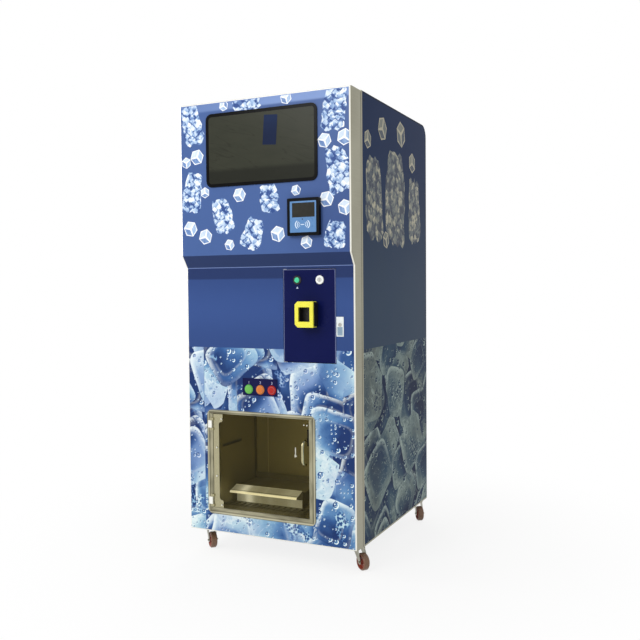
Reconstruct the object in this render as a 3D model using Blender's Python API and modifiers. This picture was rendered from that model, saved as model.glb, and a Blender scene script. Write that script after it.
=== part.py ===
"""Ice vending machine: a steel cabinet on four swivel casters behind one full-height service door.

The door carries the screen, card reader, payment panel, choice buttons, lock and pickup opening.
Behind it are the pickup cabin, the ice bin with its auger, the ice maker and the cooling unit.
X runs to the right seen from the front, the front faces -Y, Z is up from the floor, in metres.
"""
import math

import bpy
import bmesh
from mathutils import Matrix, Vector

# Clearances and sheet
GAP = 0.0003            # between pieces that rest on or slide in each other
OVERRUN = 0.006         # how far every cut runs past the surface it opens
MERGE = 0.00002         # points closer than this are one
SHEET = 0.002           # folded sheet steel

# Cabinet
WIDTH = 0.848
DEPTH = 0.970
HEIGHT = 2.071
CASTER_HEIGHT = 0.106
REAR_RADIUS = 0.060     # rear top corner, in side view
TOP_WRAP = 0.110        # how far the top cover runs down the back
SIDE_RETURN = 0.018     # front return of a side panel
RETURN_STOP = 0.018     # the return stops this far short of the top and bottom
BASE_HEIGHT = 0.040
BASE_RAIL = 0.050
POST = 0.035
POST_DEPTH = 0.045
LOWER_RAIL = 0.600      # underside of the lower cross rail, above the body's bottom
UPPER_RAIL = 1.360
RACK_RAIL = 0.030
RACK_SPREAD = 0.250

# Rear vent
VENT_WIDTH = 0.115
VENT_SLOT = 0.007
VENT_PITCH = 0.024
VENT_ROWS = 11
VENT_COLUMNS = 2

# Service door
DOOR_DEPTH = 0.070
DOOR_SEAM = 0.0036      # between the door's back and the cabinet
DOOR_RETURN = 0.022     # rear return of the door's shell
DOOR_EDGE = 0.008       # rounded front edges
PIVOT_RADIUS = 0.020    # hinge-side rear edge, rolled round the pivot
PIVOT_PIN = 0.005
PIVOT_PLATE = 0.003
PIVOT_PLATE_LENGTH = 0.052
PIVOT_PIN_LENGTH = 0.016
PIVOT_SEAT = 0.025      # how far the pivot plate lies on the cabinet
FASCIA_PROUD = 0.0374
FASCIA_HEIGHT = 0.688
SLOPE_HEIGHT = 0.055
GASKET = 0.0030
GASKET_WIDTH = 0.012
GASKET_INSET = 0.005

# Screen in the fascia
SCREEN_LEFT = 0.143
SCREEN_WIDTH = 0.553
SCREEN_HEIGHT = 0.326
SCREEN_DROP = 0.058     # below the top of the cabinet
SCREEN_RADIUS = 0.028
SCREEN_BORDER = 0.014
BEZEL_THICKNESS = 0.004
GLASS_THICKNESS = 0.003
GLASS_LAP = 0.012       # how far the glass laps over the sheet
DISPLAY_DEPTH = 0.045

# Card reader on the fascia
READER_RIGHT = 0.139
READER_WIDTH = 0.1505
READER_HEIGHT = 0.159
READER_DROP = 0.456
READER_DEPTH = 0.020
READER_RADIUS = 0.005
READER_CORNER_SHARE = 0.2       # of an inset, taken off the corner radius
READER_BORDER = 0.013
READER_RECESS = 0.003
READER_PLATE = 0.0022
CONTROL_WIDTH = 0.300
CONTROL_HEIGHT = 0.150
CONTROL_DEPTH = 0.060
CONTROL_LEFT = 0.170
CONTROL_DROP = 0.450

# Payment door on the lower face
PAYMENT_RIGHT = 0.0915
PAYMENT_WIDTH = 0.2485
PAYMENT_HEIGHT = 0.403
PAYMENT_DROP = 0.014    # below the slope
PAYMENT_DEPTH = 0.009
PAYMENT_PROUD = 0.001
PAYMENT_GAP = 0.0025
PAYMENT_AXIS = 0.005
PAYMENT_PIN = 0.002
PAYMENT_PIN_LENGTH = 0.009
SURROUND_WIDTH = 0.012
HINGE_BLOCK_WIDTH = 0.032
HINGE_BLOCK_DEPTH = 0.010
HINGE_BLOCK_HEIGHT = 0.009

# Bill acceptor in the payment door
BILL_LEFT = 0.082
BILL_DROP = 0.138
BILL_WIDTH = 0.0865
BILL_HEIGHT = 0.111
BILL_CHAMFER = 0.013
BILL_MARGIN = 0.0035    # the bezel's lap round the acceptor's body
BILL_PROUD = 0.046
BEZEL_DEPTH = 0.010
BEZEL_LIP = 0.026       # how far the bezel's upper and lower lips run back over the body
MOUTH_WIDTH = 0.054
MOUTH_HEIGHT = 0.062
MOUTH_DEPTH = 0.035
ACCEPTOR_REAR = 0.098
CASH_BOX_HEIGHT = 0.128
CASH_BOX_FRONT = 0.024

# Start button and cam lock in the payment door
TOP_ROW_DROP = 0.046
START_LEFT = 0.068
START_RADIUS = 0.012
START_RIM = 0.020
START_SLEEVE = 0.0145
START_LENGTH = 0.030
LOCK_LEFT = 0.176
LOCK_RIM = 0.019
LOCK_BARREL = 0.010
LOCK_SLEEVE = 0.0125
LOCK_LENGTH = 0.0070
CAM_LENGTH = 0.052
CAM_WIDTH = 0.014
CAM_THICKNESS = 0.002
CATCH_WIDTH = 0.020
CATCH_HEIGHT = 0.008
RIM_THICKNESS = 0.004
BUTTON_PROUD = 0.0035
BUTTON_TRAVEL = 0.004
RIM_EDGE_SHARES = (0.92, 0.6)   # radius and height where a rim's chamfer starts
BUTTON_DOME_SHARES = ((0.6, 0.1), (0.93, 0.4))  # radius, and drop in the dome's height
KEY_SLOT_SHARE = 0.6            # half length of a key slot in barrel radii

# Choice buttons
CHOICE_LEFT = 0.296
CHOICE_WIDTH = 0.176
CHOICE_BOTTOM = 0.6475
CHOICE_HEIGHT = 0.0765
CHOICE_PLATE = 0.002
CHOICE_FIRST = 0.0320   # first button's centre from the plate's left edge
CHOICE_PITCH = 0.0586
CHOICE_RISE = 0.0275    # the buttons' centre above the plate's lower edge
CHOICE_RIM = 0.0215
CHOICE_BORE = 0.0168
CHOICE_SLEEVE = 0.0188
CHOICE_LENGTH = 0.024
CHOICE_NAMES = ("green_button", "orange_button", "red_button")

# Door lock
DOOR_LOCK_RIGHT = 0.054
DOOR_LOCK_WIDTH = 0.0335
DOOR_LOCK_HEIGHT = 0.084
DOOR_LOCK_BOTTOM = 0.920
DOOR_LOCK_RIM = 0.0015   # lap of the lock's flange over the sheet
LEVER_MARGIN = 0.0045    # wall beside the lever
DOOR_LOCK_PROUD = 0.0022
DOOR_LOCK_DEPTH = 0.030
LEVER_HEIGHT = 0.036
LEVER_GROOVES = 4
LEVER_THICKNESS = 0.006
LEVER_PIN = 0.002
POCKET_DEPTH = 0.012
KEY_RADIUS = 0.0085
KEY_RISE = 0.046
BOLT_HEIGHT = 0.018
BOLT_DEPTH = 0.010
BOLT_THROW = 0.012
BOLT_CLEARANCE = 0.003
STRIKE_WALL = 0.004     # of the front post, before the bolt

# Pickup opening and its tinted door
PICKUP_LEFT = 0.104
PICKUP_WIDTH = 0.552
PICKUP_BOTTOM = 0.089
PICKUP_HEIGHT = 0.483
PICKUP_SIDE = 0.030     # width of the frame at the sides
PICKUP_BASE = 0.029
PICKUP_HEAD = 0.017
PICKUP_RADIUS = 0.024
PICKUP_FACE = 0.0022
JAMB_DEPTH = 0.060
PANEL_GAP = 0.0025
PANEL_THICKNESS = 0.005
PICKUP_AXIS_LEFT = 0.023
PICKUP_AXIS_PROUD = 0.0085
PICKUP_PIN = 0.0025
KNUCKLE = 0.0055
KNUCKLE_LENGTH = 0.012
KNUCKLE_WIDTH_LEFT = 0.0105
KNUCKLE_WIDTH_RIGHT = 0.0085
KNUCKLE_PROUD = 0.0155
HINGE_BLOCK = 0.033     # height of a hinge block
HINGE_UPPER = 0.401     # lower edges of the hinge blocks above the frame's bottom
HINGE_LOWER = 0.047
STRIP_LEFT = 0.0345
STRIP_WIDTH = 0.029
STRIP_EAR = 0.0205
STRIP_EAR_HEIGHT = 0.036
STRIP_THICKNESS = 0.002
HANDLE_RIGHT = 0.0450   # handle's centre from the frame's right edge
HANDLE_BOTTOM = 0.262
HANDLE_HEIGHT = 0.116
HANDLE_ROD = 0.0055
HANDLE_REACH = 0.034
HANDLE_BEND = 0.026

# Pickup cabin
CABIN_LEFT = 0.122
CABIN_WIDTH = 0.518
CABIN_BACK = 0.410
CABIN_FLOOR = 0.097
CABIN_CEILING = 0.560
DRAIN_RADIUS = 0.016
HANGER_SLOT = 0.014
HANGER_FRONT = 0.100
HANGER_BACK = 0.270
HANGER_HEIGHT = 0.378
GRILLE_HEIGHT = 0.011
GRILLE_DEPTH = 0.095
GRILLE_SLOT = 0.008
GRILLE_COUNT = 16
TRAY_LEFT = 0.020
TRAY_WIDTH = 0.355
TRAY_FRONT = 0.125
TRAY_LIP = 0.007
TRAY_EDGE_HEIGHT = 0.165
TRAY_RIM_HEIGHT = 0.184
TRAY_RIM_FRONT = 0.186
TRAY_PLATE_HEIGHT = 0.172
TRAY_BACK = 0.392
TRAY_UPSTAND = 0.030
BEAM_FRONT = 0.190
BEAM_BOTTOM = 0.100
BEAM_TOP = 0.138
PEDESTAL_FRONT = 0.205
PEDESTAL_BACK = 0.360

# Ice bin, auger and chute
BIN_SIDE_GAP = 0.004
BIN_FRONT = 0.125
BIN_REAR_GAP = 0.170
BIN_TOP_GAP = 0.030
BIN_WALL = 0.030
TROUGH_RADIUS = 0.075
KNEE_HEIGHT = 0.300
AUGER_SHAFT = 0.014
AUGER_CLEARANCE = 0.005
AUGER_PITCH = 0.080
AUGER_FLIGHT = 0.004
AUGER_STEPS = 10        # facets in one turn
CHUTE_FRONT = 0.155
CHUTE_SIZE = 0.140
FLAP_RISE = 0.018
FLAP_PIN = 0.003
FLAP_CLEARANCE = 0.002
GEARBOX = 0.120
GEARBOX_DEPTH = 0.060
MOTOR_RADIUS = 0.045
MOTOR_LENGTH = 0.050

# Ice maker
MAKER_WIDTH = 0.600
MAKER_TOP_GAP = 0.045
MAKER_VENTS = 6
MAKER_VENT = 0.010
MAKER_VENT_LENGTH = 0.260
EVAPORATOR_WIDTH = 0.360
EVAPORATOR_HEIGHT = 0.280
EVAPORATOR_DEPTH = 0.030
EVAPORATOR_COLUMNS = 6
EVAPORATOR_ROWS = 5
EVAPORATOR_WEB = 0.008
EVAPORATOR_DROP = 0.060

# Cooling unit
COMPRESSOR_LEFT_GAP = 0.234     # from the cabinet's side to the compressor's centre
COMPRESSOR_REAR_GAP = 0.280
COMPRESSOR_RADIUS = 0.090
COMPRESSOR_HEIGHT = 0.210
COMPRESSOR_FOOT = 0.240
COMPRESSOR_DOME_SHARE = 0.6     # dome height in radii
COMPRESSOR_SEAM_SHARE = 0.45    # of the height
COMPRESSOR_FOOT_SHARES = (0.8, 0.3)     # radius and height of the taper at the foot, in radii
FOOT_THICKNESS = 0.004
CONDENSER_RIGHT_GAP = 0.074
CONDENSER_SIZE = 0.340
CONDENSER_DEPTH = 0.050
CONDENSER_REAR_GAP = 0.003
CONDENSER_FINS = 11
FIN = 0.003
TUBE_BAND = 0.012
TUBE_BAND_SHARES = (0.2, 0.5, 0.8)      # of the condenser's height
SHROUD_HOLE = 0.128
COLLAR_DEPTH = 0.028
COLLAR_WALL = 0.003
FAN_CLEARANCE = 0.006
FAN_HUB = 0.030
FAN_HUB_DEPTH = 0.018
FAN_BLADES = 5
BLADE_WIDTH = 0.060
BLADE_THICKNESS = 0.003
BLADE_PITCH = 28.0
FAN_SHAFT = 0.004
FAN_MOTOR = 0.034
FAN_MOTOR_LENGTH = 0.045
FAN_ARM = 0.010

# Casters
CASTER_INSET = 0.039
CASTER_FRONT = 0.115
CASTER_REAR = 0.035
CASTER_PLATE = 0.056
CASTER_PLATE_THICKNESS = 0.003
RACE_RADIUS = 0.026
RACE_HEIGHT = 0.007
CROWN_RADIUS = 0.027
CROWN_THICKNESS = 0.004
WHEEL_RADIUS = 0.0375
WHEEL_WIDTH = 0.030
WHEEL_RIM = 0.026
WHEEL_WEB = 0.007
WHEEL_HUB = 0.012
TREAD_ROUND = 0.005
WHEEL_STEPS = 20
TRAIL = 0.036
LEG_THICKNESS = 0.0025
LEG_END = 0.011
WHEEL_SIDE_GAP = 0.0012
AXLE_RADIUS = 0.004
AXLE_OVERHANG = 0.006
CROWN_SHARE = 0.85      # half width of a leg's top in crown radii
CASTER_HEADINGS = {"front_left": 46.0, "front_right": 52.0, "rear_left": 20.0, "rear_right": 33.0}

# Levels and planes that follow
HALF = WIDTH / 2
TREAD_HALF = WHEEL_WIDTH / 2 - TREAD_ROUND
BODY_BOTTOM = CASTER_HEIGHT
BODY_TOP = HEIGHT
INNER_HALF = HALF - SHEET - GAP
CABINET_FRONT = DOOR_DEPTH + DOOR_SEAM
FRAME_FRONT = CABINET_FRONT + SHEET + GAP
FRAME_TOP = BODY_TOP - PIVOT_PLATE - GAP
REAR_FRAME_BACK = DEPTH - SHEET - GAP
BASE_TOP = BODY_BOTTOM + BASE_HEIGHT + SHEET
DOOR_BOTTOM = BODY_BOTTOM + PIVOT_PLATE + GAP
DOOR_TOP = BODY_TOP - PIVOT_PLATE - GAP
SLOPE_TOP = BODY_TOP - FASCIA_HEIGHT
SLOPE_BOTTOM = SLOPE_TOP - SLOPE_HEIGHT
READER_FRONT = -FASCIA_PROUD - GAP - READER_DEPTH
CENTRE_Y = (READER_FRONT + DEPTH) / 2
WHEEL_TURN = math.radians(CASTER_HEADINGS["front_right"])
WHEEL_REACH = (TRAIL + WHEEL_RADIUS) * math.sin(WHEEL_TURN) + TREAD_HALF * math.cos(WHEEL_TURN)
CENTRE_X = (WHEEL_REACH - CASTER_INSET) / 2
RACK_LOWER = BODY_BOTTOM + LOWER_RAIL + POST
RACK_UPPER = BODY_BOTTOM + UPPER_RAIL + POST
BIN_BACK = DEPTH - BIN_REAR_GAP
BIN_BOTTOM = RACK_LOWER + RACK_RAIL + GAP
BIN_TOP = BODY_BOTTOM + UPPER_RAIL - BIN_TOP_GAP
AUGER_Z = BIN_BOTTOM + BIN_WALL + TROUGH_RADIUS
AUGER_RADIUS = TROUGH_RADIUS - AUGER_CLEARANCE
CABIN_TOP = BODY_BOTTOM + CABIN_CEILING + SHEET
COMPRESSOR_X = COMPRESSOR_LEFT_GAP - HALF
COMPRESSOR_Y = DEPTH - COMPRESSOR_REAR_GAP
CONDENSER_LEFT = HALF - CONDENSER_RIGHT_GAP - CONDENSER_SIZE

STEEL = ((0.62, 0.60, 0.54), 0.35, 1.0)
ZINC = ((0.55, 0.56, 0.58), 0.40, 1.0)
GALVANISED = ((0.60, 0.62, 0.63), 0.45, 1.0)
FILM_BLUE = ((0.13, 0.22, 0.55), 0.35, 0.0)
NAVY = ((0.012, 0.016, 0.10), 0.30, 0.0)
BLACK = ((0.02, 0.02, 0.022), 0.50, 0.0)
WHITE_PLASTIC = ((0.75, 0.76, 0.77), 0.45, 0.0)
DARK_GLASS = ((0.03, 0.035, 0.03), 0.08, 0.0)
SMOKED = ((0.10, 0.095, 0.06), 0.10, 0.0)
YELLOW = ((0.85, 0.78, 0.12), 0.35, 0.0)
GREEN = ((0.20, 0.70, 0.15), 0.25, 0.0)
ORANGE = ((0.90, 0.32, 0.05), 0.25, 0.0)
RED = ((0.75, 0.05, 0.02), 0.25, 0.0)
TREAD = ((0.16, 0.07, 0.05), 0.60, 0.0)


def clear_scene():
    for item in list(bpy.data.objects):
        bpy.data.objects.remove(item, do_unlink=True)


def new_collection(name):
    collection = bpy.data.collections.new(name)
    bpy.context.scene.collection.children.link(collection)
    return collection


clear_scene()
PARTS = new_collection("ice_vending_machine")
CUTTERS = new_collection("cutters")
BODIES = {}


def left(distance):
    """X of a place measured from the cabinet's left side."""
    return distance - HALF


def up(height):
    """Z of a place measured from the cabinet's bottom edge."""
    return BODY_BOTTOM + height


def add_body(name, place, parent=None, turn=0.0):
    """Empty on a joint's axis that the moving pieces hang from."""
    empty = bpy.data.objects.new(name + "_axis", None)
    PARTS.objects.link(empty)
    above = BODIES[parent] if parent else None
    start = above["place"] if above else Vector((CENTRE_X, CENTRE_Y, 0))
    empty.parent = above["empty"] if above else None
    empty.location = Vector(place) - start
    empty.rotation_euler = (0, 0, turn)
    BODIES[name] = {"empty": empty, "place": Vector(place)}


def new_material(name, look):
    colour, roughness, metallic = look
    material = bpy.data.materials.new(name)
    material.use_nodes = True
    shader = material.node_tree.nodes["Principled BSDF"]
    shader.inputs["Base Color"].default_value = (*colour, 1.0)
    shader.inputs["Roughness"].default_value = roughness
    shader.inputs["Metallic"].default_value = metallic
    return material


def place_object(item, body, local):
    """Hang an object from its body's empty, its mesh in cabinet or in body coordinates."""
    holder = BODIES[body]
    item.parent = holder["empty"]
    item.location = Vector((0, 0, 0)) if local else -holder["place"]


def mesh_from(bm, name):
    bmesh.ops.recalc_face_normals(bm, faces=bm.faces)
    mesh = bpy.data.meshes.new(name)
    bm.to_mesh(mesh)
    bm.free()
    mesh.shade_smooth()
    mesh.set_sharp_from_angle(angle=math.radians(35))
    return mesh


def add_part(name, bm, look, body="cabinet", local=False):
    mesh = mesh_from(bm, name)
    mesh.materials.append(new_material(name, look))
    item = bpy.data.objects.new(name, mesh)
    PARTS.objects.link(item)
    place_object(item, body, local)
    item["body"] = body
    item["local"] = local
    return item


def combine(item, bm, operation):
    """Cut or join one body with a helper mesh through an exact Boolean."""
    helper_name = "{}_{}_{}".format(item.name, operation.lower(), len(item.modifiers))
    helper = bpy.data.objects.new(helper_name, mesh_from(bm, helper_name))
    CUTTERS.objects.link(helper)
    place_object(helper, item["body"], item["local"])
    helper.hide_render = True
    helper.display_type = "WIRE"
    modifier = item.modifiers.new(operation.lower(), "BOOLEAN")
    modifier.object = helper
    modifier.operation = operation
    modifier.solver = "EXACT"


def cut(item, bm):
    combine(item, bm, "DIFFERENCE")


def join(item, bm):
    combine(item, bm, "UNION")


def solidify(item, thickness, offset=-1.0):
    modifier = item.modifiers.new("sheet", "SOLIDIFY")
    modifier.thickness = thickness
    modifier.offset = offset
    modifier.use_even_offset = True


def bevel(item, width, segments=2, angle=35.0):
    modifier = item.modifiers.new("rounded", "BEVEL")
    modifier.width = width
    modifier.segments = segments
    modifier.limit_method = "ANGLE"
    modifier.angle_limit = math.radians(angle)


def boxes(*ranges):
    """One mesh of boxes, each from three (low, high) ranges."""
    bm = bmesh.new()
    for spans in ranges:
        centre = Vector([(low + high) / 2 for low, high in spans])
        size = [high - low for low, high in spans]
        matrix = Matrix.Translation(centre) @ Matrix.Diagonal((*size, 1.0))
        bmesh.ops.create_cube(bm, size=1.0, matrix=matrix)
    return bm


AXES = {
    "X": Matrix.Rotation(math.pi / 2, 4, "Y"),
    "Y": Matrix.Rotation(math.pi / 2, 4, "X"),
    "Z": Matrix.Identity(4),
}


def rods(*items, sides=20):
    """One mesh of cylinders, each given as (centre, radius, length, axis)."""
    bm = bmesh.new()
    for centre, radius, length, axis in items:
        matrix = Matrix.Translation(Vector(centre)) @ AXES[axis]
        bmesh.ops.create_cone(bm, cap_ends=True, segments=sides, radius1=radius,
                              radius2=radius, depth=length, matrix=matrix)
    return bm


def rod(start, end, radius, axis, sides=20):
    """Cylinder along an axis between two ends, start and end being points."""
    low, high = Vector(start), Vector(end)
    return rods(((low + high) / 2, radius, (high - low).length, axis), sides=sides)


def evaluated_bmesh(item):
    """Mesh of an object with its modifiers or curve settings applied; the object is removed."""
    PARTS.objects.link(item)
    bpy.context.view_layer.update()
    graph = bpy.context.evaluated_depsgraph_get()
    mesh = bpy.data.meshes.new_from_object(item.evaluated_get(graph))
    bm = bmesh.new()
    bm.from_mesh(mesh)
    bmesh.ops.remove_doubles(bm, verts=bm.verts, dist=MERGE)
    bpy.data.objects.remove(item, do_unlink=True)
    bpy.data.meshes.remove(mesh)
    return bm


PLANES = {
    "XY": Matrix.Identity(4),
    "XZ": Matrix(((1, 0, 0, 0), (0, 0, -1, 0), (0, 1, 0, 0), (0, 0, 0, 1))),
    "YZ": Matrix(((0, 0, 1, 0), (1, 0, 0, 0), (0, 1, 0, 0), (0, 0, 0, 1))),
}


def plate(loops, span, plane):
    """Flat outline with holes, drawn in a plane and extruded over a span of the third axis."""
    low, high = span
    curve = bpy.data.curves.new("outline", "CURVE")
    curve.dimensions = "2D"
    curve.fill_mode = "BOTH"
    curve.extrude = (high - low) / 2
    for loop in loops:
        spline = curve.splines.new("POLY")
        spline.points.add(len(loop) - 1)
        for point, (u, v) in zip(spline.points, loop):
            point.co = (u, v, 0, 1)
        spline.use_cyclic_u = True
    bm = evaluated_bmesh(bpy.data.objects.new("outline", curve))
    middle = (low + high) / 2
    shift = {"XY": (0, 0, middle), "XZ": (0, middle, 0), "YZ": (middle, 0, 0)}[plane]
    bmesh.ops.transform(bm, matrix=Matrix.Translation(shift) @ PLANES[plane], verts=bm.verts)
    return bm


def turned(profile, matrix, steps=20):
    """Profile of (radius, height) points turned about Z, then placed by a matrix."""
    mesh = bpy.data.meshes.new("profile")
    closed = profile[0][0] > 0
    bm = bmesh.new()
    verts = [bm.verts.new((radius, 0, height)) for radius, height in profile]
    for first, second in zip(verts, verts[1:]):
        bm.edges.new((first, second))
    if closed:
        bm.edges.new((verts[-1], verts[0]))
    bm.to_mesh(mesh)
    bm.free()
    item = bpy.data.objects.new("profile", mesh)
    screw = item.modifiers.new("turn", "SCREW")
    screw.steps = steps
    screw.render_steps = steps
    screw.use_merge_vertices = True
    screw.merge_threshold = MERGE
    bm = evaluated_bmesh(item)
    bmesh.ops.transform(bm, matrix=matrix, verts=bm.verts)
    return bm


def merged(pieces):
    """One mesh from several."""
    total = bmesh.new()
    for piece in pieces:
        mesh = bpy.data.meshes.new("piece")
        piece.to_mesh(mesh)
        piece.free()
        total.from_mesh(mesh)
        bpy.data.meshes.remove(mesh)
    return total


def facing_front(x, y, z):
    """Placing matrix that turns a profile's height towards the front."""
    return Matrix.Translation((x, y, z)) @ Matrix.Rotation(math.pi / 2, 4, "X")


def upright(x, y, z):
    return Matrix.Translation((x, y, z))


def arc(centre, radius, start, end, count):
    """Points of an arc between two angles in degrees, ends included."""
    u, v = centre
    points = []
    for step in range(count + 1):
        angle = math.radians(start + (end - start) * step / count)
        points.append((u + radius * math.cos(angle), v + radius * math.sin(angle)))
    return points


def rectangle(low_u, high_u, low_v, high_v):
    return [(low_u, low_v), (high_u, low_v), (high_u, high_v), (low_u, high_v)]


def rounded(low_u, high_u, low_v, high_v, radius, count=3):
    """Rectangle with round corners."""
    points = []
    points += arc((high_u - radius, low_v + radius), radius, -90, 0, count)
    points += arc((high_u - radius, high_v - radius), radius, 0, 90, count)
    points += arc((low_u + radius, high_v - radius), radius, 90, 180, count)
    points += arc((low_u + radius, low_v + radius), radius, 180, 270, count)
    return points


def open_box(spans, missing):
    """Box surface without the faces whose normals point along the missing directions."""
    bm = boxes(spans)
    directions = [Vector(direction) for direction in missing]
    gone = [face for face in bm.faces if any(face.normal.dot(d) > 0.9 for d in directions)]
    bmesh.ops.delete(bm, geom=gone, context="FACES_ONLY")
    loose = [edge for edge in bm.edges if not edge.link_faces]
    bmesh.ops.delete(bm, geom=loose, context="EDGES")
    return bm


def folded(points, span):
    """Sheet surface folded along a line of (y, z) points and as wide as a span of X."""
    bm = bmesh.new()
    low, high = span
    verts = [bm.verts.new((low, y, z)) for y, z in points]
    edges = [bm.edges.new(pair) for pair in zip(verts, verts[1:])]
    grown = bmesh.ops.extrude_edge_only(bm, edges=edges)
    moved = [item for item in grown["geom"] if isinstance(item, bmesh.types.BMVert)]
    bmesh.ops.translate(bm, verts=moved, vec=(high - low, 0, 0))
    return bm


# Cabinet

def base_frame():
    """Rail frame with cross rails under a flat pan, with the casters' plates and races below."""
    y_low, y_high = FRAME_FRONT, REAR_FRAME_BACK + GAP
    middle = (y_low + y_high) / 2
    inner = INNER_HALF - BASE_RAIL
    front_bay = rectangle(-inner, inner, y_low + BASE_RAIL, middle - BASE_RAIL / 2)
    rear_bay = rectangle(-inner, inner, middle + BASE_RAIL / 2, y_high - BASE_RAIL)
    outer = rectangle(-INNER_HALF, INNER_HALF, y_low, y_high - GAP)
    top = BODY_BOTTOM + BASE_HEIGHT
    item = add_part("base_frame", plate([outer, front_bay, rear_bay], (BODY_BOTTOM, top), "XY"),
                    GALVANISED)
    join(item, boxes(((-INNER_HALF, INNER_HALF), (y_low, y_high - GAP), (top - SHEET, BASE_TOP))))
    half = CASTER_PLATE / 2
    low = BODY_BOTTOM - CASTER_PLATE_THICKNESS
    middle = low - RACE_HEIGHT / 2
    places = caster_places().values()
    join(item, boxes(*[((x - half, x + half), (y - half, y + half), (low, BODY_BOTTOM + SHEET))
                       for x, y in places]))
    join(item, rods(*[((x, y, middle + SHEET / 2), RACE_RADIUS, RACE_HEIGHT + SHEET, "Z")
                      for x, y in places], sides=14))
    cut(item, boxes(pivot_pocket(BODY_BOTTOM - GAP, BODY_BOTTOM + PIVOT_PLATE + GAP)))
    return item


def pivot_axis():
    return -HALF + PIVOT_RADIUS, DOOR_DEPTH - PIVOT_RADIUS


def pivot_plate_ranges(z_low, z_high):
    """Plate that carries a pivot pin, from beside the pin to its seat on the cabinet."""
    x_low = -INNER_HALF + GAP
    y_low = pivot_axis()[1] - PIVOT_PIN * 2
    return (x_low, x_low + PIVOT_PLATE_LENGTH), (y_low, CABINET_FRONT + PIVOT_SEAT), (z_low, z_high)


def pivot_pocket(z_low, z_high):
    (_, x_high), (y_low, y_high), _ = pivot_plate_ranges(0, 0)
    return (-HALF - OVERRUN, x_high + GAP), (y_low - OVERRUN, y_high + GAP), (z_low, z_high)


def side_panel(name, side):
    outer_x = side * HALF
    inner_x = side * (HALF - SHEET)
    outline = [(CABINET_FRONT, BODY_BOTTOM), (DEPTH, BODY_BOTTOM)]
    outline += arc((DEPTH - REAR_RADIUS, BODY_TOP - REAR_RADIUS), REAR_RADIUS, 0, 90, 6)
    outline += [(CABINET_FRONT, BODY_TOP)]
    span = (min(outer_x, inner_x), max(outer_x, inner_x))
    item = add_part(name, plate([outline], span, "YZ"), FILM_BLUE)
    fold_x = side * (HALF - SIDE_RETURN)
    inside = side * (HALF - SHEET / 2)
    join(item, boxes(((min(fold_x, inside), max(fold_x, inside)),
                      (CABINET_FRONT, CABINET_FRONT + SHEET),
                      (BODY_BOTTOM + RETURN_STOP, BODY_TOP - RETURN_STOP))))
    return item


def top_cover():
    """Sheet over the top, bent down the back round the rear corner."""
    centre = (DEPTH - REAR_RADIUS, BODY_TOP - REAR_RADIUS)
    end = BODY_TOP - TOP_WRAP
    outline = [(CABINET_FRONT, BODY_TOP - SHEET), (CABINET_FRONT, BODY_TOP)]
    outline += arc(centre, REAR_RADIUS, 90, 0, 6)
    outline += [(DEPTH, end), (DEPTH - SHEET, end)]
    outline += arc(centre, REAR_RADIUS - SHEET, 0, 90, 6)
    item = add_part("top_cover", plate([outline], (-INNER_HALF, INNER_HALF), "YZ"), STEEL)
    cut(item, boxes(pivot_pocket(BODY_TOP - SHEET - OVERRUN, BODY_TOP + OVERRUN)))
    return item


def rear_panel():
    """Flat back with rows of cooling slots behind the condenser."""
    top = BODY_TOP - TOP_WRAP - GAP
    item = add_part("rear_panel", boxes(((-INNER_HALF, INNER_HALF), (DEPTH - SHEET, DEPTH),
                                         (BODY_BOTTOM, top))), STEEL)
    middle = CONDENSER_LEFT + CONDENSER_SIZE / 2
    first = BASE_TOP + GAP + CONDENSER_SIZE / 2 - VENT_PITCH * (VENT_ROWS - 1) / 2
    column = VENT_WIDTH + VENT_PITCH
    slots = []
    for row in range(VENT_ROWS):
        for place in range(VENT_COLUMNS):
            x = middle + (place - (VENT_COLUMNS - 1) / 2) * column
            z = first + row * VENT_PITCH
            slots.append(((x - VENT_WIDTH / 2, x + VENT_WIDTH / 2),
                          (DEPTH - SHEET - OVERRUN, DEPTH + OVERRUN),
                          (z - VENT_SLOT / 2, z + VENT_SLOT / 2)))
    cut(item, boxes(*slots))
    return item


def post_frame(y_low, top):
    """Two posts and three cross rails, open at the foot."""
    inner = INNER_HALF - POST
    bottom = BASE_TOP + GAP
    lower, upper = up(LOWER_RAIL), up(UPPER_RAIL)
    outer = [(-INNER_HALF, bottom), (-inner, bottom), (-inner, lower), (inner, lower),
             (inner, bottom), (INNER_HALF, bottom), (INNER_HALF, top), (-INNER_HALF, top)]
    bin_bay = rectangle(-inner, inner, lower + POST, upper)
    maker_bay = rectangle(-inner, inner, upper + POST, top - POST)
    return plate([outer, bin_bay, maker_bay], (y_low, y_low + POST_DEPTH), "XZ")


def rack_frame():
    """Welded rack: front and rear post frames, and the rails that the bin and ice maker stand on.

    The right front post has a slot right through it for the lock's bolt.
    """
    item = add_part("rack_frame", post_frame(FRAME_FRONT, FRAME_TOP), GALVANISED)
    join(item, boxes(*rack_rails()))
    join(item, post_frame(REAR_FRAME_BACK - POST_DEPTH, BODY_TOP - REAR_RADIUS - SHEET))
    z = up(DOOR_LOCK_BOTTOM + KEY_RISE)
    cut(item, boxes(((INNER_HALF - POST - OVERRUN, INNER_HALF + OVERRUN),
                     (bolt_front() - SHEET, bolt_front() + BOLT_DEPTH + SHEET),
                     (z - BOLT_HEIGHT / 2 - SHEET, z + BOLT_HEIGHT / 2 + SHEET))))
    return item


def rack_rails():
    """Ranges of the four rails from the front frame to the rear frame."""
    ranges = []
    for level in (RACK_LOWER, RACK_UPPER):
        for side in (-1, 1):
            x = side * RACK_SPREAD
            ranges.append(((x - RACK_RAIL / 2, x + RACK_RAIL / 2),
                           (FRAME_FRONT + SHEET, REAR_FRAME_BACK - SHEET),
                           (level - SHEET, level + RACK_RAIL)))
    return ranges


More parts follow.
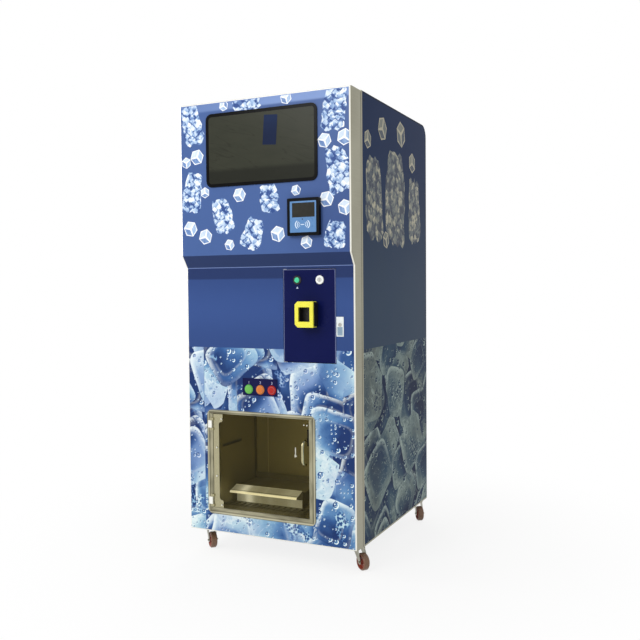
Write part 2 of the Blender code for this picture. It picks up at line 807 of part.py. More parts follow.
def pivot_bracket(name, z_low, pin_start, pin_end):
    """Plate with the pin that one end of the service door turns on."""
    x, y = pivot_axis()
    item = add_part(name, boxes(pivot_plate_ranges(z_low, z_low + PIVOT_PLATE)), ZINC)
    join(item, rod((x, y, pin_start), (x, y, pin_end), PIVOT_PIN, "Z", 16))
    return item


def pivot_brackets():
    half = PIVOT_PLATE / 2
    top, bottom = BODY_TOP - half, BODY_BOTTOM + half
    pivot_bracket("upper_pivot_bracket", BODY_TOP - PIVOT_PLATE, top - PIVOT_PIN_LENGTH, top)
    pivot_bracket("lower_pivot_bracket", BODY_BOTTOM, bottom, bottom + PIVOT_PIN_LENGTH)


# Pickup cabin

def pickup_cabin():
    """Stainless compartment, open at the front, with a raised floor and a drop hole above."""
    x_low = left(CABIN_LEFT)
    x_high = x_low + CABIN_WIDTH
    y_high = CABIN_BACK
    shell = open_box(((x_low - SHEET, x_high + SHEET), (CABINET_FRONT, y_high + SHEET),
                      (BASE_TOP + GAP, CABIN_TOP)), ((0, -1, 0), (0, 0, -1)))
    item = add_part("pickup_cabin", shell, STEEL)
    solidify(item, SHEET)
    floor = up(CABIN_FLOOR)
    inset = SHEET / 2
    join(item, boxes(((x_low - inset, x_high + inset), (CABINET_FRONT, y_high + inset),
                      (floor - SHEET, floor))))
    inner = CHUTE_SIZE / 2 - SHEET
    cut(item, boxes(((-inner, inner), (CHUTE_FRONT + SHEET, CHUTE_FRONT + CHUTE_SIZE - SHEET),
                     (CABIN_TOP - SHEET - OVERRUN, CABIN_TOP + OVERRUN))))
    slot = up(HANGER_HEIGHT)
    cut(item, boxes(((x_low - SHEET - OVERRUN, x_low + OVERRUN), (HANGER_FRONT, HANGER_BACK),
                     (slot, slot + HANGER_SLOT))))
    drain_y = CABINET_FRONT + GRILLE_DEPTH / 2
    cut(item, rod((x_low + CABIN_WIDTH / 2, drain_y, floor - SHEET - OVERRUN),
                  (x_low + CABIN_WIDTH / 2, drain_y, floor + OVERRUN), DRAIN_RADIUS, "Z", 16))
    return item


def floor_grille():
    """Slotted drip grille with turned-down edges, lying on the cabin's floor."""
    x_low = left(CABIN_LEFT) + SHEET
    x_high = x_low + CABIN_WIDTH - 2 * SHEET
    floor = up(CABIN_FLOOR) + GAP
    y_low = CABINET_FRONT + SHEET
    y_high = y_low + GRILLE_DEPTH
    shell = open_box(((x_low, x_high), (y_low, y_high), (floor, floor + GRILLE_HEIGHT)),
                     ((0, 0, -1),))
    item = add_part("floor_grille", shell, STEEL)
    solidify(item, SHEET)
    pitch = (x_high - x_low) / (GRILLE_COUNT + 1)
    margin = GRILLE_HEIGHT
    slots = []
    for place in range(1, GRILLE_COUNT + 1):
        x = x_low + pitch * place
        slots.append(((x - GRILLE_SLOT / 2, x + GRILLE_SLOT / 2), (y_low + margin, y_high - margin),
                      (floor + SHEET, floor + GRILLE_HEIGHT + OVERRUN)))
    cut(item, boxes(*slots))
    return item


def bag_tray():
    """Folded bag rest with a sloped front lip, on a pedestal with a front beam."""
    x_low = left(CABIN_LEFT) + TRAY_LEFT
    x_high = x_low + TRAY_WIDTH
    line = [(TRAY_FRONT, up(TRAY_EDGE_HEIGHT - TRAY_LIP)), (TRAY_FRONT, up(TRAY_EDGE_HEIGHT)),
            (TRAY_RIM_FRONT, up(TRAY_RIM_HEIGHT)), (PEDESTAL_FRONT - SHEET, up(TRAY_PLATE_HEIGHT)),
            (TRAY_BACK, up(TRAY_PLATE_HEIGHT)), (TRAY_BACK, up(TRAY_PLATE_HEIGHT + TRAY_UPSTAND))]
    item = add_part("bag_tray", folded(line, (x_low, x_high)), STEEL)
    solidify(item, SHEET, offset=0.0)
    floor = up(CABIN_FLOOR) + GAP
    end = x_high - TRAY_LIP
    join(item, boxes(((x_low + SHEET, end), (PEDESTAL_FRONT, PEDESTAL_BACK),
                      (floor, up(TRAY_PLATE_HEIGHT)))))
    join(item, boxes(((x_low, end + SHEET), (BEAM_FRONT, PEDESTAL_FRONT + SHEET),
                      (up(BEAM_BOTTOM), up(BEAM_TOP)))))
    return item


# Ice bin, auger and chute

def ice_bin():
    """Insulated bin whose floor narrows to a round trough for the auger."""
    half = INNER_HALF - BIN_SIDE_GAP
    item = add_part("ice_bin", boxes(((-half, half), (BIN_FRONT, BIN_BACK), (BIN_BOTTOM, BIN_TOP))),
                    WHITE_PLASTIC)
    inner = half - BIN_WALL
    knee = BIN_BOTTOM + KNEE_HEIGHT
    outline = [(-inner, BIN_TOP + OVERRUN), (-inner, knee)]
    outline += arc((0, AUGER_Z), TROUGH_RADIUS, 215, 325, 8)
    outline += [(inner, knee), (inner, BIN_TOP + OVERRUN)]
    cut(item, plate([outline], (BIN_FRONT + BIN_WALL, BIN_BACK - BIN_WALL), "XZ"))
    hole = CHUTE_SIZE / 2 - SHEET
    cut(item, boxes(((-hole, hole), (CHUTE_FRONT + SHEET, CHUTE_FRONT + CHUTE_SIZE - SHEET),
                     (BIN_BOTTOM - OVERRUN, AUGER_Z - TROUGH_RADIUS / 2))))
    cut(item, rod((0, BIN_FRONT + BIN_WALL / 2, AUGER_Z), (0, BIN_BACK + OVERRUN, AUGER_Z),
                  AUGER_SHAFT + GAP, "Y", 20))
    return item


def auger():
    """Shaft with a helical flight that carries the ice forward to the chute."""
    y_low = BIN_FRONT + BIN_WALL + AUGER_CLEARANCE
    y_high = BIN_BACK - BIN_WALL - AUGER_CLEARANCE
    steps = int((y_high - y_low - AUGER_FLIGHT) / AUGER_PITCH * AUGER_STEPS)
    root = AUGER_SHAFT - SHEET
    flight = bmesh.new()
    corners = [(root, 0), (AUGER_RADIUS, 0), (AUGER_RADIUS, AUGER_FLIGHT), (root, AUGER_FLIGHT)]
    verts = [flight.verts.new((x, y_low + y, AUGER_Z)) for x, y in corners]
    face = flight.faces.new(verts)
    bmesh.ops.spin(flight, geom=[face, *face.edges, *verts], cent=(0, y_low, AUGER_Z),
                   axis=(0, 1, 0), dvec=(0, AUGER_PITCH / AUGER_STEPS, 0),
                   angle=2 * math.pi * steps / AUGER_STEPS, steps=steps)
    start = (0, BIN_FRONT + BIN_WALL / 2 + GAP, AUGER_Z)
    end = (0, BIN_BACK + GAP + GEARBOX_DEPTH / 2, AUGER_Z)
    item = add_part("auger", rod(start, end, AUGER_SHAFT, "Y", 16), STEEL, "auger")
    join(item, flight)
    return item


def auger_motor():
    """Gearbox on the bin's back wall with its motor behind."""
    y_low = BIN_BACK + GAP
    half = GEARBOX / 2
    item = add_part("auger_motor", boxes(((-half, half), (y_low, y_low + GEARBOX_DEPTH),
                                          (AUGER_Z - half, AUGER_Z + half))), BLACK)
    motor_end = y_low + GEARBOX_DEPTH + MOTOR_LENGTH
    join(item, rod((0, y_low + GEARBOX_DEPTH / 2, AUGER_Z), (0, motor_end, AUGER_Z), MOTOR_RADIUS, "Y"))
    cut(item, rod((0, y_low - OVERRUN, AUGER_Z), (0, y_low + GEARBOX_DEPTH / 2 + GAP, AUGER_Z),
                  AUGER_SHAFT + GAP, "Y"))
    return item


def ice_chute():
    """Square duct from the trough down to the cabin's drop hole."""
    half = CHUTE_SIZE / 2
    y_low, y_high = CHUTE_FRONT, CHUTE_FRONT + CHUTE_SIZE
    outer = rectangle(-half, half, y_low, y_high)
    inner = rectangle(-half + SHEET, half - SHEET, y_low + SHEET, y_high - SHEET)
    item = add_part("ice_chute", plate([outer, inner], (CABIN_TOP + GAP, BIN_BOTTOM - GAP), "XY"),
                    STEEL)
    y, z = flap_axis()
    cut(item, rod((-half - OVERRUN, y, z), (half + OVERRUN, y, z), FLAP_PIN + GAP, "X", 12))
    return item


def flap_axis():
    y = CHUTE_FRONT + CHUTE_SIZE - SHEET - FLAP_CLEARANCE - FLAP_PIN
    return y, CABIN_TOP + FLAP_RISE


def chute_flap():
    """Gate that swings down into the cabin to let the ice fall."""
    y, z = flap_axis()
    half = CHUTE_SIZE / 2 - SHEET - FLAP_CLEARANCE
    front = CHUTE_FRONT + SHEET + FLAP_CLEARANCE
    item = add_part("chute_flap", boxes(((-half, half), (front, y), (z - SHEET / 2, z + SHEET / 2))),
                    STEEL, "chute_flap")
    end = CHUTE_SIZE / 2 + FLAP_PIN
    join(item, rod((-end, y, z), (end, y, z), FLAP_PIN, "X", 12))
    return item


# Ice maker

def maker_bottom():
    return RACK_UPPER + RACK_RAIL + GAP


def ice_maker_housing():
    """Casing of the ice maker, open below over the bin, with vent slots in its left side."""
    half = MAKER_WIDTH / 2
    top = BODY_TOP - MAKER_TOP_GAP
    shell = open_box(((-half, half), (BIN_FRONT, BIN_BACK), (maker_bottom(), top)), ((0, 0, -1),))
    item = add_part("ice_maker_housing", shell, GALVANISED)
    solidify(item, SHEET)
    middle = (BIN_FRONT + BIN_BACK) / 2
    slots = []
    pitch = (top - maker_bottom()) / (MAKER_VENTS + 1)
    for place in range(1, MAKER_VENTS + 1):
        z = maker_bottom() + pitch * place
        slots.append(((-half - OVERRUN, -half + OVERRUN),
                      (middle - MAKER_VENT_LENGTH / 2, middle + MAKER_VENT_LENGTH / 2),
                      (z - MAKER_VENT / 2, z + MAKER_VENT / 2)))
    cut(item, boxes(*slots))
    return item


def evaporator():
    """Freezing plate with a grid of ice cups, fixed to the housing's back wall."""
    half = EVAPORATOR_WIDTH / 2
    y_high = BIN_BACK - SHEET - GAP
    y_low = y_high - EVAPORATOR_DEPTH
    top = BODY_TOP - MAKER_TOP_GAP - EVAPORATOR_DROP
    bottom = top - EVAPORATOR_HEIGHT
    item = add_part("evaporator", boxes(((-half, half), (y_low, y_high), (bottom, top))), ZINC)
    cell_x = (EVAPORATOR_WIDTH - EVAPORATOR_WEB) / EVAPORATOR_COLUMNS
    cell_z = (EVAPORATOR_HEIGHT - EVAPORATOR_WEB) / EVAPORATOR_ROWS
    cups = []
    for column in range(EVAPORATOR_COLUMNS):
        for row in range(EVAPORATOR_ROWS):
            x = -half + EVAPORATOR_WEB + column * cell_x
            z = bottom + EVAPORATOR_WEB + row * cell_z
            cups.append(((x, x + cell_x - EVAPORATOR_WEB),
                         (y_low - OVERRUN, y_high - EVAPORATOR_WEB),
                         (z, z + cell_z - EVAPORATOR_WEB)))
    cut(item, boxes(*cups))
    return item


# Cooling unit

def compressor():
    """Domed hermetic compressor on its foot plate."""
    base = BASE_TOP + GAP
    bottom = base + FOOT_THICKNESS / 2
    radius = COMPRESSOR_RADIUS
    dome = radius * COMPRESSOR_DOME_SHARE
    shoulder = bottom + COMPRESSOR_HEIGHT - dome
    profile = [(0.0, bottom + COMPRESSOR_HEIGHT)]
    for angle in (60, 35, 0):
        profile.append((radius * math.cos(math.radians(angle)),
                        shoulder + dome * math.sin(math.radians(angle))))
    seam = bottom + COMPRESSOR_HEIGHT * COMPRESSOR_SEAM_SHARE
    taper, rise = COMPRESSOR_FOOT_SHARES
    profile += [(radius, seam + FOOT_THICKNESS), (radius + FOOT_THICKNESS, seam + FOOT_THICKNESS),
                (radius + FOOT_THICKNESS, seam - FOOT_THICKNESS), (radius, seam - FOOT_THICKNESS),
                (radius, bottom + radius * rise), (radius * taper, bottom), (0.0, bottom)]
    item = add_part("compressor", turned(profile, upright(COMPRESSOR_X, COMPRESSOR_Y, 0), 18), BLACK)
    half = COMPRESSOR_FOOT / 2
    join(item, boxes(((COMPRESSOR_X - half, COMPRESSOR_X + half),
                      (COMPRESSOR_Y - half, COMPRESSOR_Y + half), (base, base + FOOT_THICKNESS))))
    return item


def condenser_planes():
    rear = REAR_FRAME_BACK - POST_DEPTH - CONDENSER_REAR_GAP
    return rear - CONDENSER_DEPTH, rear


def condenser():
    """Finned heat exchanger in front of the rear slots."""
    y_low, y_high = condenser_planes()
    bottom = BASE_TOP + GAP
    top = bottom + CONDENSER_SIZE
    pitch = (CONDENSER_SIZE - FIN) / (CONDENSER_FINS - 1)
    fins = []
    for place in range(CONDENSER_FINS):
        x = CONDENSER_LEFT + place * pitch
        fins.append(((x, x + FIN), (y_low, y_high), (bottom, top)))
    item = add_part("condenser", boxes(*fins), ZINC)
    middle = (y_low + y_high) / 2
    band = TUBE_BAND / 2
    bands = []
    for share in TUBE_BAND_SHARES:
        z = bottom + CONDENSER_SIZE * share
        bands.append(((CONDENSER_LEFT + FIN / 2, CONDENSER_LEFT + CONDENSER_SIZE - FIN / 2),
                      (middle - band, middle + band), (z - band, z + band)))
    join(item, boxes(*bands))
    return item


def fan_centre():
    y_low, _ = condenser_planes()
    x = CONDENSER_LEFT + CONDENSER_SIZE / 2
    return x, y_low - GAP - SHEET, BASE_TOP + GAP + CONDENSER_SIZE / 2


def fan_shroud():
    """Shroud plate with a round collar, and the fan motor on two arms across it."""
    x, y, z = fan_centre()
    half = CONDENSER_SIZE / 2
    front = y - COLLAR_DEPTH
    item = add_part("fan_shroud", boxes(((x - half, x + half), (y, y + SHEET), (z - half, z + half))),
                    GALVANISED)
    join(item, rod((x, front, z), (x, y + SHEET / 2, z), SHROUD_HOLE + COLLAR_WALL, "Y", 24))
    cut(item, rod((x, front - OVERRUN, z), (x, y + OVERRUN, z), SHROUD_HOLE, "Y", 24))
    arm_y = (front - FAN_ARM, front + SHEET)
    reach = SHROUD_HOLE + COLLAR_WALL / 2
    join(item, boxes(((x - reach, x + reach), arm_y, (z - FAN_ARM / 2, z + FAN_ARM / 2))))
    join(item, rod((x, front - FAN_MOTOR_LENGTH, z), (x, front, z), FAN_MOTOR, "Y"))
    cut(item, rod((x, front - FAN_MOTOR_LENGTH / 2, z), (x, front + OVERRUN, z), FAN_SHAFT + GAP, "Y", 12))
    return item


def condenser_fan():
    """Hub with pitched blades on a shaft that runs into the motor."""
    x, y, z = fan_centre()
    front = y - COLLAR_DEPTH + SHEET + FAN_CLEARANCE / 2
    hub_end = front + FAN_HUB_DEPTH
    item = add_part("condenser_fan", rod((x, front, z), (x, hub_end, z), FAN_HUB, "Y", 20), BLACK, "fan")
    middle = (front + hub_end) / 2
    radius = SHROUD_HOLE - FAN_CLEARANCE
    blades = bmesh.new()
    for place in range(FAN_BLADES):
        length = radius - FAN_HUB / 2
        pitch_turn = Matrix.Rotation(math.radians(BLADE_PITCH), 4, "X")
        size = Matrix.Diagonal((length, BLADE_THICKNESS, BLADE_WIDTH / 2, 1.0))
        slide = Matrix.Translation((FAN_HUB / 2 + length / 2, 0, 0))
        around = Matrix.Rotation(2 * math.pi * place / FAN_BLADES, 4, "Y")
        matrix = Matrix.Translation((x, middle, z)) @ around @ slide @ pitch_turn @ size
        bmesh.ops.create_cube(blades, size=1.0, matrix=matrix)
    join(item, blades)
    shaft_start = y - COLLAR_DEPTH - FAN_MOTOR_LENGTH / 2 + GAP
    join(item, rod((x, shaft_start, z), (x, middle, z), FAN_SHAFT, "Y", 12))
    return item


# Service door

def near(first, second):
    return abs(first - second) < MERGE


def door_shell():
    """Folded door tray: lower face, slope and fascia in one sheet, with returns at the back."""
    outline = [(DOOR_DEPTH, DOOR_BOTTOM), (DOOR_DEPTH, DOOR_TOP), (-FASCIA_PROUD, DOOR_TOP),
               (-FASCIA_PROUD, SLOPE_TOP), (0, SLOPE_BOTTOM), (0, DOOR_BOTTOM)]
    bm = plate([outline], (-HALF, HALF), "YZ")
    bmesh.ops.dissolve_limit(bm, angle_limit=math.radians(1), verts=bm.verts, edges=bm.edges)
    bmesh.ops.recalc_face_normals(bm, faces=bm.faces)

    def edges_where(test):
        return [edge for edge in bm.edges if test(*[vert.co for vert in edge.verts])]

    hinge_side = edges_where(lambda a, b: all(near(v.x, -HALF) and near(v.y, DOOR_DEPTH) for v in (a, b)))
    bmesh.ops.bevel(bm, geom=hinge_side, offset=PIVOT_RADIUS, offset_type="OFFSET", segments=5,
                    profile=0.5, affect="EDGES")
    rim = edges_where(lambda a, b: max(a.y, b.y) < MERGE and (
        near(a.x, b.x) and near(abs(a.x), HALF)
        or near(a.z, b.z) and (near(a.z, DOOR_TOP) or near(a.z, DOOR_BOTTOM))))
    bmesh.ops.bevel(bm, geom=rim, offset=DOOR_EDGE, offset_type="OFFSET", segments=2, profile=0.5,
                    affect="EDGES")
    bm.faces.ensure_lookup_table()
    back = max(bm.faces, key=lambda face: face.normal.y * face.calc_area())
    bmesh.ops.inset_region(bm, faces=[back], thickness=DOOR_RETURN, use_even_offset=True)
    bmesh.ops.delete(bm, geom=[back], context="FACES_ONLY")
    item = add_part("door_shell", bm, FILM_BLUE, "door")
    solidify(item, SHEET)
    cut_door_holes(item)
    return item


def cut_door_holes(item):
    """Openings of the door's sheet for everything that it carries."""
    lap = SCREEN_BORDER + GLASS_LAP
    x, z = left(SCREEN_LEFT), screen_bottom()
    fascia = (-FASCIA_PROUD - OVERRUN, -FASCIA_PROUD + OVERRUN)
    face = (-OVERRUN, OVERRUN)
    cut(item, boxes(((x + lap, x + SCREEN_WIDTH - lap), fascia, (z + lap, z + SCREEN_HEIGHT - lap))))
    reader_x, reader_z = reader_centre()
    port = READER_BORDER
    cut(item, boxes(((reader_x - port, reader_x + port), fascia, (reader_z - port, reader_z + port))))
    x_low, x_high, z_low, z_high = payment_sides()
    gap = PAYMENT_GAP
    cut(item, boxes(((x_low - gap, x_high + gap), face, (z_low - gap, z_high + gap))))
    bores = [((bx, 0, bz), CHOICE_SLEEVE + GAP, 2 * OVERRUN, "Y") for bx, bz in choice_centres()]
    cut(item, rods(*bores, sides=16))
    x_low, x_high, z_low, z_high = lock_sides()
    rim = DOOR_LOCK_RIM - GAP
    cut(item, boxes(((x_low + rim, x_high - rim), face, (z_low + rim, z_high - rim))))
    x_low, x_high, z_low, z_high = jamb_sides()
    lap = SHEET + GAP
    cut(item, boxes(((x_low - lap, x_high + lap), face, (z_low - lap, z_high + lap))))
    x, y = pivot_axis()
    cut(item, rods(((x, y, DOOR_TOP), PIVOT_PIN + GAP, 2 * OVERRUN, "Z"),
                   ((x, y, DOOR_BOTTOM), PIVOT_PIN + GAP, 2 * OVERRUN, "Z"), sides=16))


def door_gasket():
    """Soft seal between the door's rear return and the cabinet."""
    x_edge = HALF - GASKET_INSET
    low, high = DOOR_BOTTOM + GASKET_INSET, DOOR_TOP - GASKET_INSET
    left_edge = -HALF + PIVOT_RADIUS + GASKET_INSET
    outer = rectangle(left_edge, x_edge, low, high)
    width = GASKET_WIDTH
    inner = rectangle(left_edge + width, x_edge - width, low + width, high - width)
    y = DOOR_DEPTH + GAP
    return add_part("door_gasket", plate([outer, inner], (y, y + GASKET), "XZ"), BLACK, "door")


def screen_bottom():
    return BODY_TOP - SCREEN_DROP - SCREEN_HEIGHT


def screen_bezel():
    x, z = left(SCREEN_LEFT), screen_bottom()
    outer = rounded(x, x + SCREEN_WIDTH, z, z + SCREEN_HEIGHT, SCREEN_RADIUS, 4)
    edge = SCREEN_BORDER
    inner = rounded(x + edge, x + SCREEN_WIDTH - edge, z + edge, z + SCREEN_HEIGHT - edge,
                    SCREEN_RADIUS - SCREEN_BORDER, 4)
    back = -FASCIA_PROUD - GAP
    return add_part("screen_bezel", plate([outer, inner], (back - BEZEL_THICKNESS, back), "XZ"),
                    BLACK, "door")


def screen_glass():
    x, z = left(SCREEN_LEFT), screen_bottom()
    edge = SCREEN_BORDER + GAP
    outline = rounded(x + edge, x + SCREEN_WIDTH - edge, z + edge, z + SCREEN_HEIGHT - edge,
                      SCREEN_RADIUS - edge, 4)
    back = -FASCIA_PROUD - GAP
    return add_part("screen_glass", plate([outline], (back - GLASS_THICKNESS, back), "XZ"),
                    DARK_GLASS, "door")


def display_module():
    """Screen panel and its electronics behind the fascia's window."""
    x, z = left(SCREEN_LEFT), screen_bottom()
    edge = SCREEN_BORDER
    front = -FASCIA_PROUD + SHEET + GAP
    return add_part("display_module",
                    boxes(((x + edge, x + SCREEN_WIDTH - edge), (front, front + DISPLAY_DEPTH),
                           (z + edge, z + SCREEN_HEIGHT - edge))), BLACK, "door")


def control_box():
    """Controller casing behind the fascia, below the screen."""
    x = left(CONTROL_LEFT)
    top = BODY_TOP - CONTROL_DROP
    front = -FASCIA_PROUD + SHEET + GAP
    return add_part("control_box",
                    boxes(((x, x + CONTROL_WIDTH), (front, front + CONTROL_DEPTH),
                           (top - CONTROL_HEIGHT, top))), GALVANISED, "door")


def reader_centre():
    return HALF - READER_RIGHT - READER_WIDTH / 2, BODY_TOP - READER_DROP - READER_HEIGHT / 2


def reader_outline(inset):
    x, z = reader_centre()
    half_x, half_z = READER_WIDTH / 2 - inset, READER_HEIGHT / 2 - inset
    radius = READER_RADIUS - inset * READER_CORNER_SHARE
    return rounded(x - half_x, x + half_x, z - half_z, z + half_z, radius, 3)


def reader_housing():
    """Black housing of the card reader, with a recess for its face plate."""
    back = -FASCIA_PROUD - GAP
    item = add_part("reader_housing", plate([reader_outline(0)], (READER_FRONT, back), "XZ"),
                    BLACK, "door")
    cut(item, plate([reader_outline(READER_BORDER)],
                    (READER_FRONT - OVERRUN, READER_FRONT + READER_RECESS), "XZ"))
    return item


def reader_face():
    back = READER_FRONT + READER_RECESS - GAP
    return add_part("reader_face", plate([reader_outline(READER_BORDER + GAP)],
                                         (back - READER_PLATE, back), "XZ"), FILM_BLUE, "door")


def payment_sides():
    x_high = HALF - PAYMENT_RIGHT
    z_high = SLOPE_BOTTOM - PAYMENT_DROP
    return x_high - PAYMENT_WIDTH, x_high, z_high - PAYMENT_HEIGHT, z_high


def payment_axis():
    x_low = payment_sides()[0]
    return x_low + PAYMENT_AXIS, SHEET + GAP + PAYMENT_PIN + GAP


def payment_surround():
    """Bracket round three sides behind the sheet: the payment door's pin blocks and its lock's catch."""
    x, y = payment_axis()
    x_low, x_high, z_low, z_high = payment_sides()
    front = SHEET + GAP
    inner = PAYMENT_GAP + SHEET
    outer = inner + SURROUND_WIDTH
    outline = [(x_high, z_low - outer), (x_high, z_low - inner), (x_low - inner, z_low - inner),
               (x_low - inner, z_high + inner), (x_high, z_high + inner), (x_high, z_high + outer),
               (x_low - outer, z_high + outer), (x_low - outer, z_low - outer)]
    item = add_part("payment_surround", plate([outline], (front, front + SHEET), "XZ"), ZINC, "door")
    y_range = (front, front + HINGE_BLOCK_DEPTH)
    x_range = (x - HINGE_BLOCK_WIDTH + PAYMENT_AXIS * 2, x + PAYMENT_AXIS * 2)
    above = z_high + 2 * GAP
    below = z_low - 2 * GAP
    join(item, boxes((x_range, y_range, (above, above + HINGE_BLOCK_HEIGHT)),
                     (x_range, y_range, (below - HINGE_BLOCK_HEIGHT, below))))
    lock_x = x_low + LOCK_LEFT
    catch_z = z_high + inner + SHEET
    join(item, boxes(((lock_x - CATCH_WIDTH / 2, lock_x + CATCH_WIDTH / 2),
                      (front + SHEET / 2, cam_front() - GAP), (catch_z, catch_z + CATCH_HEIGHT))))
    sink = HINGE_BLOCK_HEIGHT / 2
    length = sink + PAYMENT_PIN_LENGTH
    join(item, rods(((x, y, above + sink - length / 2), PAYMENT_PIN, length, "Z"),
                    ((x, y, below - sink + length / 2), PAYMENT_PIN, length, "Z"), sides=12))
    return item


def payment_panel():
    """Small service door as a shallow folded tray with holes for what it carries."""
    x_low, x_high, z_low, z_high = payment_sides()
    front = -PAYMENT_PROUD
    bm = open_box(((x_low, x_high), (front, front + PAYMENT_DEPTH), (z_low, z_high)), ((0, 1, 0),))
    item = add_part("payment_panel", bm, NAVY, "payment_door")
    bevel(item, SHEET / 2, 1)
    solidify(item, SHEET)
    bx_low, bx_high, bz_low, bz_high = acceptor_sides()
    through = (front - OVERRUN, front + SHEET + OVERRUN)
    cut(item, boxes(((bx_low - GAP, bx_high + GAP), through, (bz_low - GAP, bz_high + GAP))))
    z = z_high - TOP_ROW_DROP
    length = 2 * OVERRUN
    cut(item, rods(((x_low + START_LEFT, front, z), START_SLEEVE + GAP, length, "Y"),
                   ((x_low + LOCK_LEFT, front, z), LOCK_SLEEVE + GAP, length, "Y"), sides=16))
    x, y = payment_axis()
    cut(item, rods(((x, y, z_low), PAYMENT_PIN + GAP, length, "Z"),
                   ((x, y, z_high), PAYMENT_PIN + GAP, length, "Z"), sides=12))
    return item


def bezel_sides():
    x_low, _, _, z_high = payment_sides()
    x = x_low + BILL_LEFT
    top = z_high - BILL_DROP
    return x, x + BILL_WIDTH, top - BILL_HEIGHT, top


def acceptor_sides():
    x_low, x_high, z_low, z_high = bezel_sides()
    edge = BILL_MARGIN
    return x_low + edge, x_high - edge, z_low + edge, z_high - edge


def bill_bezel():
    """Yellow frame round the bill mouth, chamfered at its left corners, with a lip above and below."""
    x_low, x_high, z_low, z_high = bezel_sides()
    chamfer = BILL_CHAMFER
    outer = [(x_low + chamfer, z_low), (x_high, z_low), (x_high, z_high), (x_low + chamfer, z_high),
             (x_low, z_high - chamfer), (x_low, z_low + chamfer)]
    x = (x_low + x_high) / 2
    z = (z_low + z_high) / 2
    mouth = rectangle(x - MOUTH_WIDTH / 2, x + MOUTH_WIDTH / 2, z - MOUTH_HEIGHT / 2, z + MOUTH_HEIGHT / 2)
    back = -PAYMENT_PROUD - BILL_PROUD - GAP
    item = add_part("bill_bezel", plate([outer, mouth], (back - BEZEL_DEPTH, back), "XZ"), YELLOW,
                    "payment_door")
    lip = BILL_MARGIN - GAP
    lips = [((x_low + chamfer, x_high), (back - BEZEL_DEPTH / 2, back + BEZEL_LIP), (low, low + lip))
            for low in (z_low, z_high - lip)]
    join(item, boxes(*lips))
    return item


def bill_acceptor():
    """Acceptor body through the payment door with the bill's mouth, and the cash box under it."""
    x_low, x_high, z_low, z_high = acceptor_sides()
    front = -PAYMENT_PROUD - BILL_PROUD
    body = ((x_low, x_high), (front, ACCEPTOR_REAR), (z_low, z_high))
    item = add_part("bill_acceptor", boxes(body), BLACK, "payment_door")
    inset = SHEET
    join(item, boxes(((x_low + inset, x_high - inset), (CASH_BOX_FRONT, ACCEPTOR_REAR - inset),
                      (z_low - CASH_BOX_HEIGHT, z_low + inset))))
    x = (x_low + x_high) / 2
    z = (z_low + z_high) / 2
    cut(item, boxes(((x - MOUTH_WIDTH / 2, x + MOUTH_WIDTH / 2), (front - OVERRUN, front + MOUTH_DEPTH),
                     (z - MOUTH_HEIGHT / 2, z + MOUTH_HEIGHT / 2))))
    return item


def sleeve_profile(rim, bore, sleeve, length):
    """Closed section of a flanged sleeve; height 0 is the face that it seats on."""
    edge, drop = RIM_EDGE_SHARES
    return [(bore, RIM_THICKNESS), (rim * edge, RIM_THICKNESS), (rim, RIM_THICKNESS * drop), (rim, 0.0),
            (sleeve, 0.0), (sleeve, -length), (bore, -length)]


def plunger_profile(radius, depth):
    """Solid of a push button from its domed front to its back; height 0 is the seat plane."""
    front = RIM_THICKNESS + BUTTON_PROUD
    dome = [(radius * out, front - BUTTON_PROUD * drop) for out, drop in BUTTON_DOME_SHARES]
    return [(0.0, front), *dome, (radius, front - BUTTON_PROUD), (radius, -depth), (0.0, -depth)]


def payment_collar(name, offset, profile, look):
    x_low, _, _, z_high = payment_sides()
    place = facing_front(x_low + offset, -PAYMENT_PROUD - GAP, z_high - TOP_ROW_DROP)
    return add_part(name, turned(profile, place, 20), look, "payment_door")


def payment_collars():
    """Flanged sleeves of the start button and of the cam lock."""
    start = sleeve_profile(START_RIM, START_RADIUS + GAP, START_SLEEVE, START_LENGTH)
    payment_collar("start_collar", START_LEFT, start, BLACK)
    lock = sleeve_profile(LOCK_RIM, LOCK_BARREL + GAP, LOCK_SLEEVE, LOCK_LENGTH)
    payment_collar("lock_collar", LOCK_LEFT, lock, ZINC)


def start_button():
    x_low, _, _, z_high = payment_sides()
    seat = -PAYMENT_PROUD - GAP
    place = facing_front(x_low + START_LEFT, seat, z_high - TOP_ROW_DROP)
    depth = START_LENGTH - BUTTON_TRAVEL
    return add_part("start_button", turned(plunger_profile(START_RADIUS, depth), place, 20), GREEN,
                    "start_button")


def cam_front():
    return -PAYMENT_PROUD + PAYMENT_DEPTH + GAP


def payment_lock():
    """Lock barrel with the cam that turns up behind the catch."""
    x_low, _, _, z_high = payment_sides()
    x = x_low + LOCK_LEFT
    z = z_high - TOP_ROW_DROP
    front = -PAYMENT_PROUD - GAP - RIM_THICKNESS
    back = cam_front() + CAM_THICKNESS
    item = add_part("payment_lock", rod((x, front, z), (x, back, z), LOCK_BARREL, "Y", 20), ZINC,
                    "payment_lock")
    half = CAM_WIDTH / 2
    join(item, boxes(((x, x + CAM_LENGTH), (cam_front(), back), (z - half, z + half))))
    slot = LOCK_BARREL * KEY_SLOT_SHARE
    cut(item, boxes(((x - SHEET / 2, x + SHEET / 2), (front - OVERRUN, front + SHEET), (z - slot, z + slot))))
    return item


# Choice buttons

def choice_centres():
    x, z = left(CHOICE_LEFT) + CHOICE_FIRST, up(CHOICE_BOTTOM + CHOICE_RISE)
    return [(x + place * CHOICE_PITCH, z) for place in range(len(CHOICE_NAMES))]


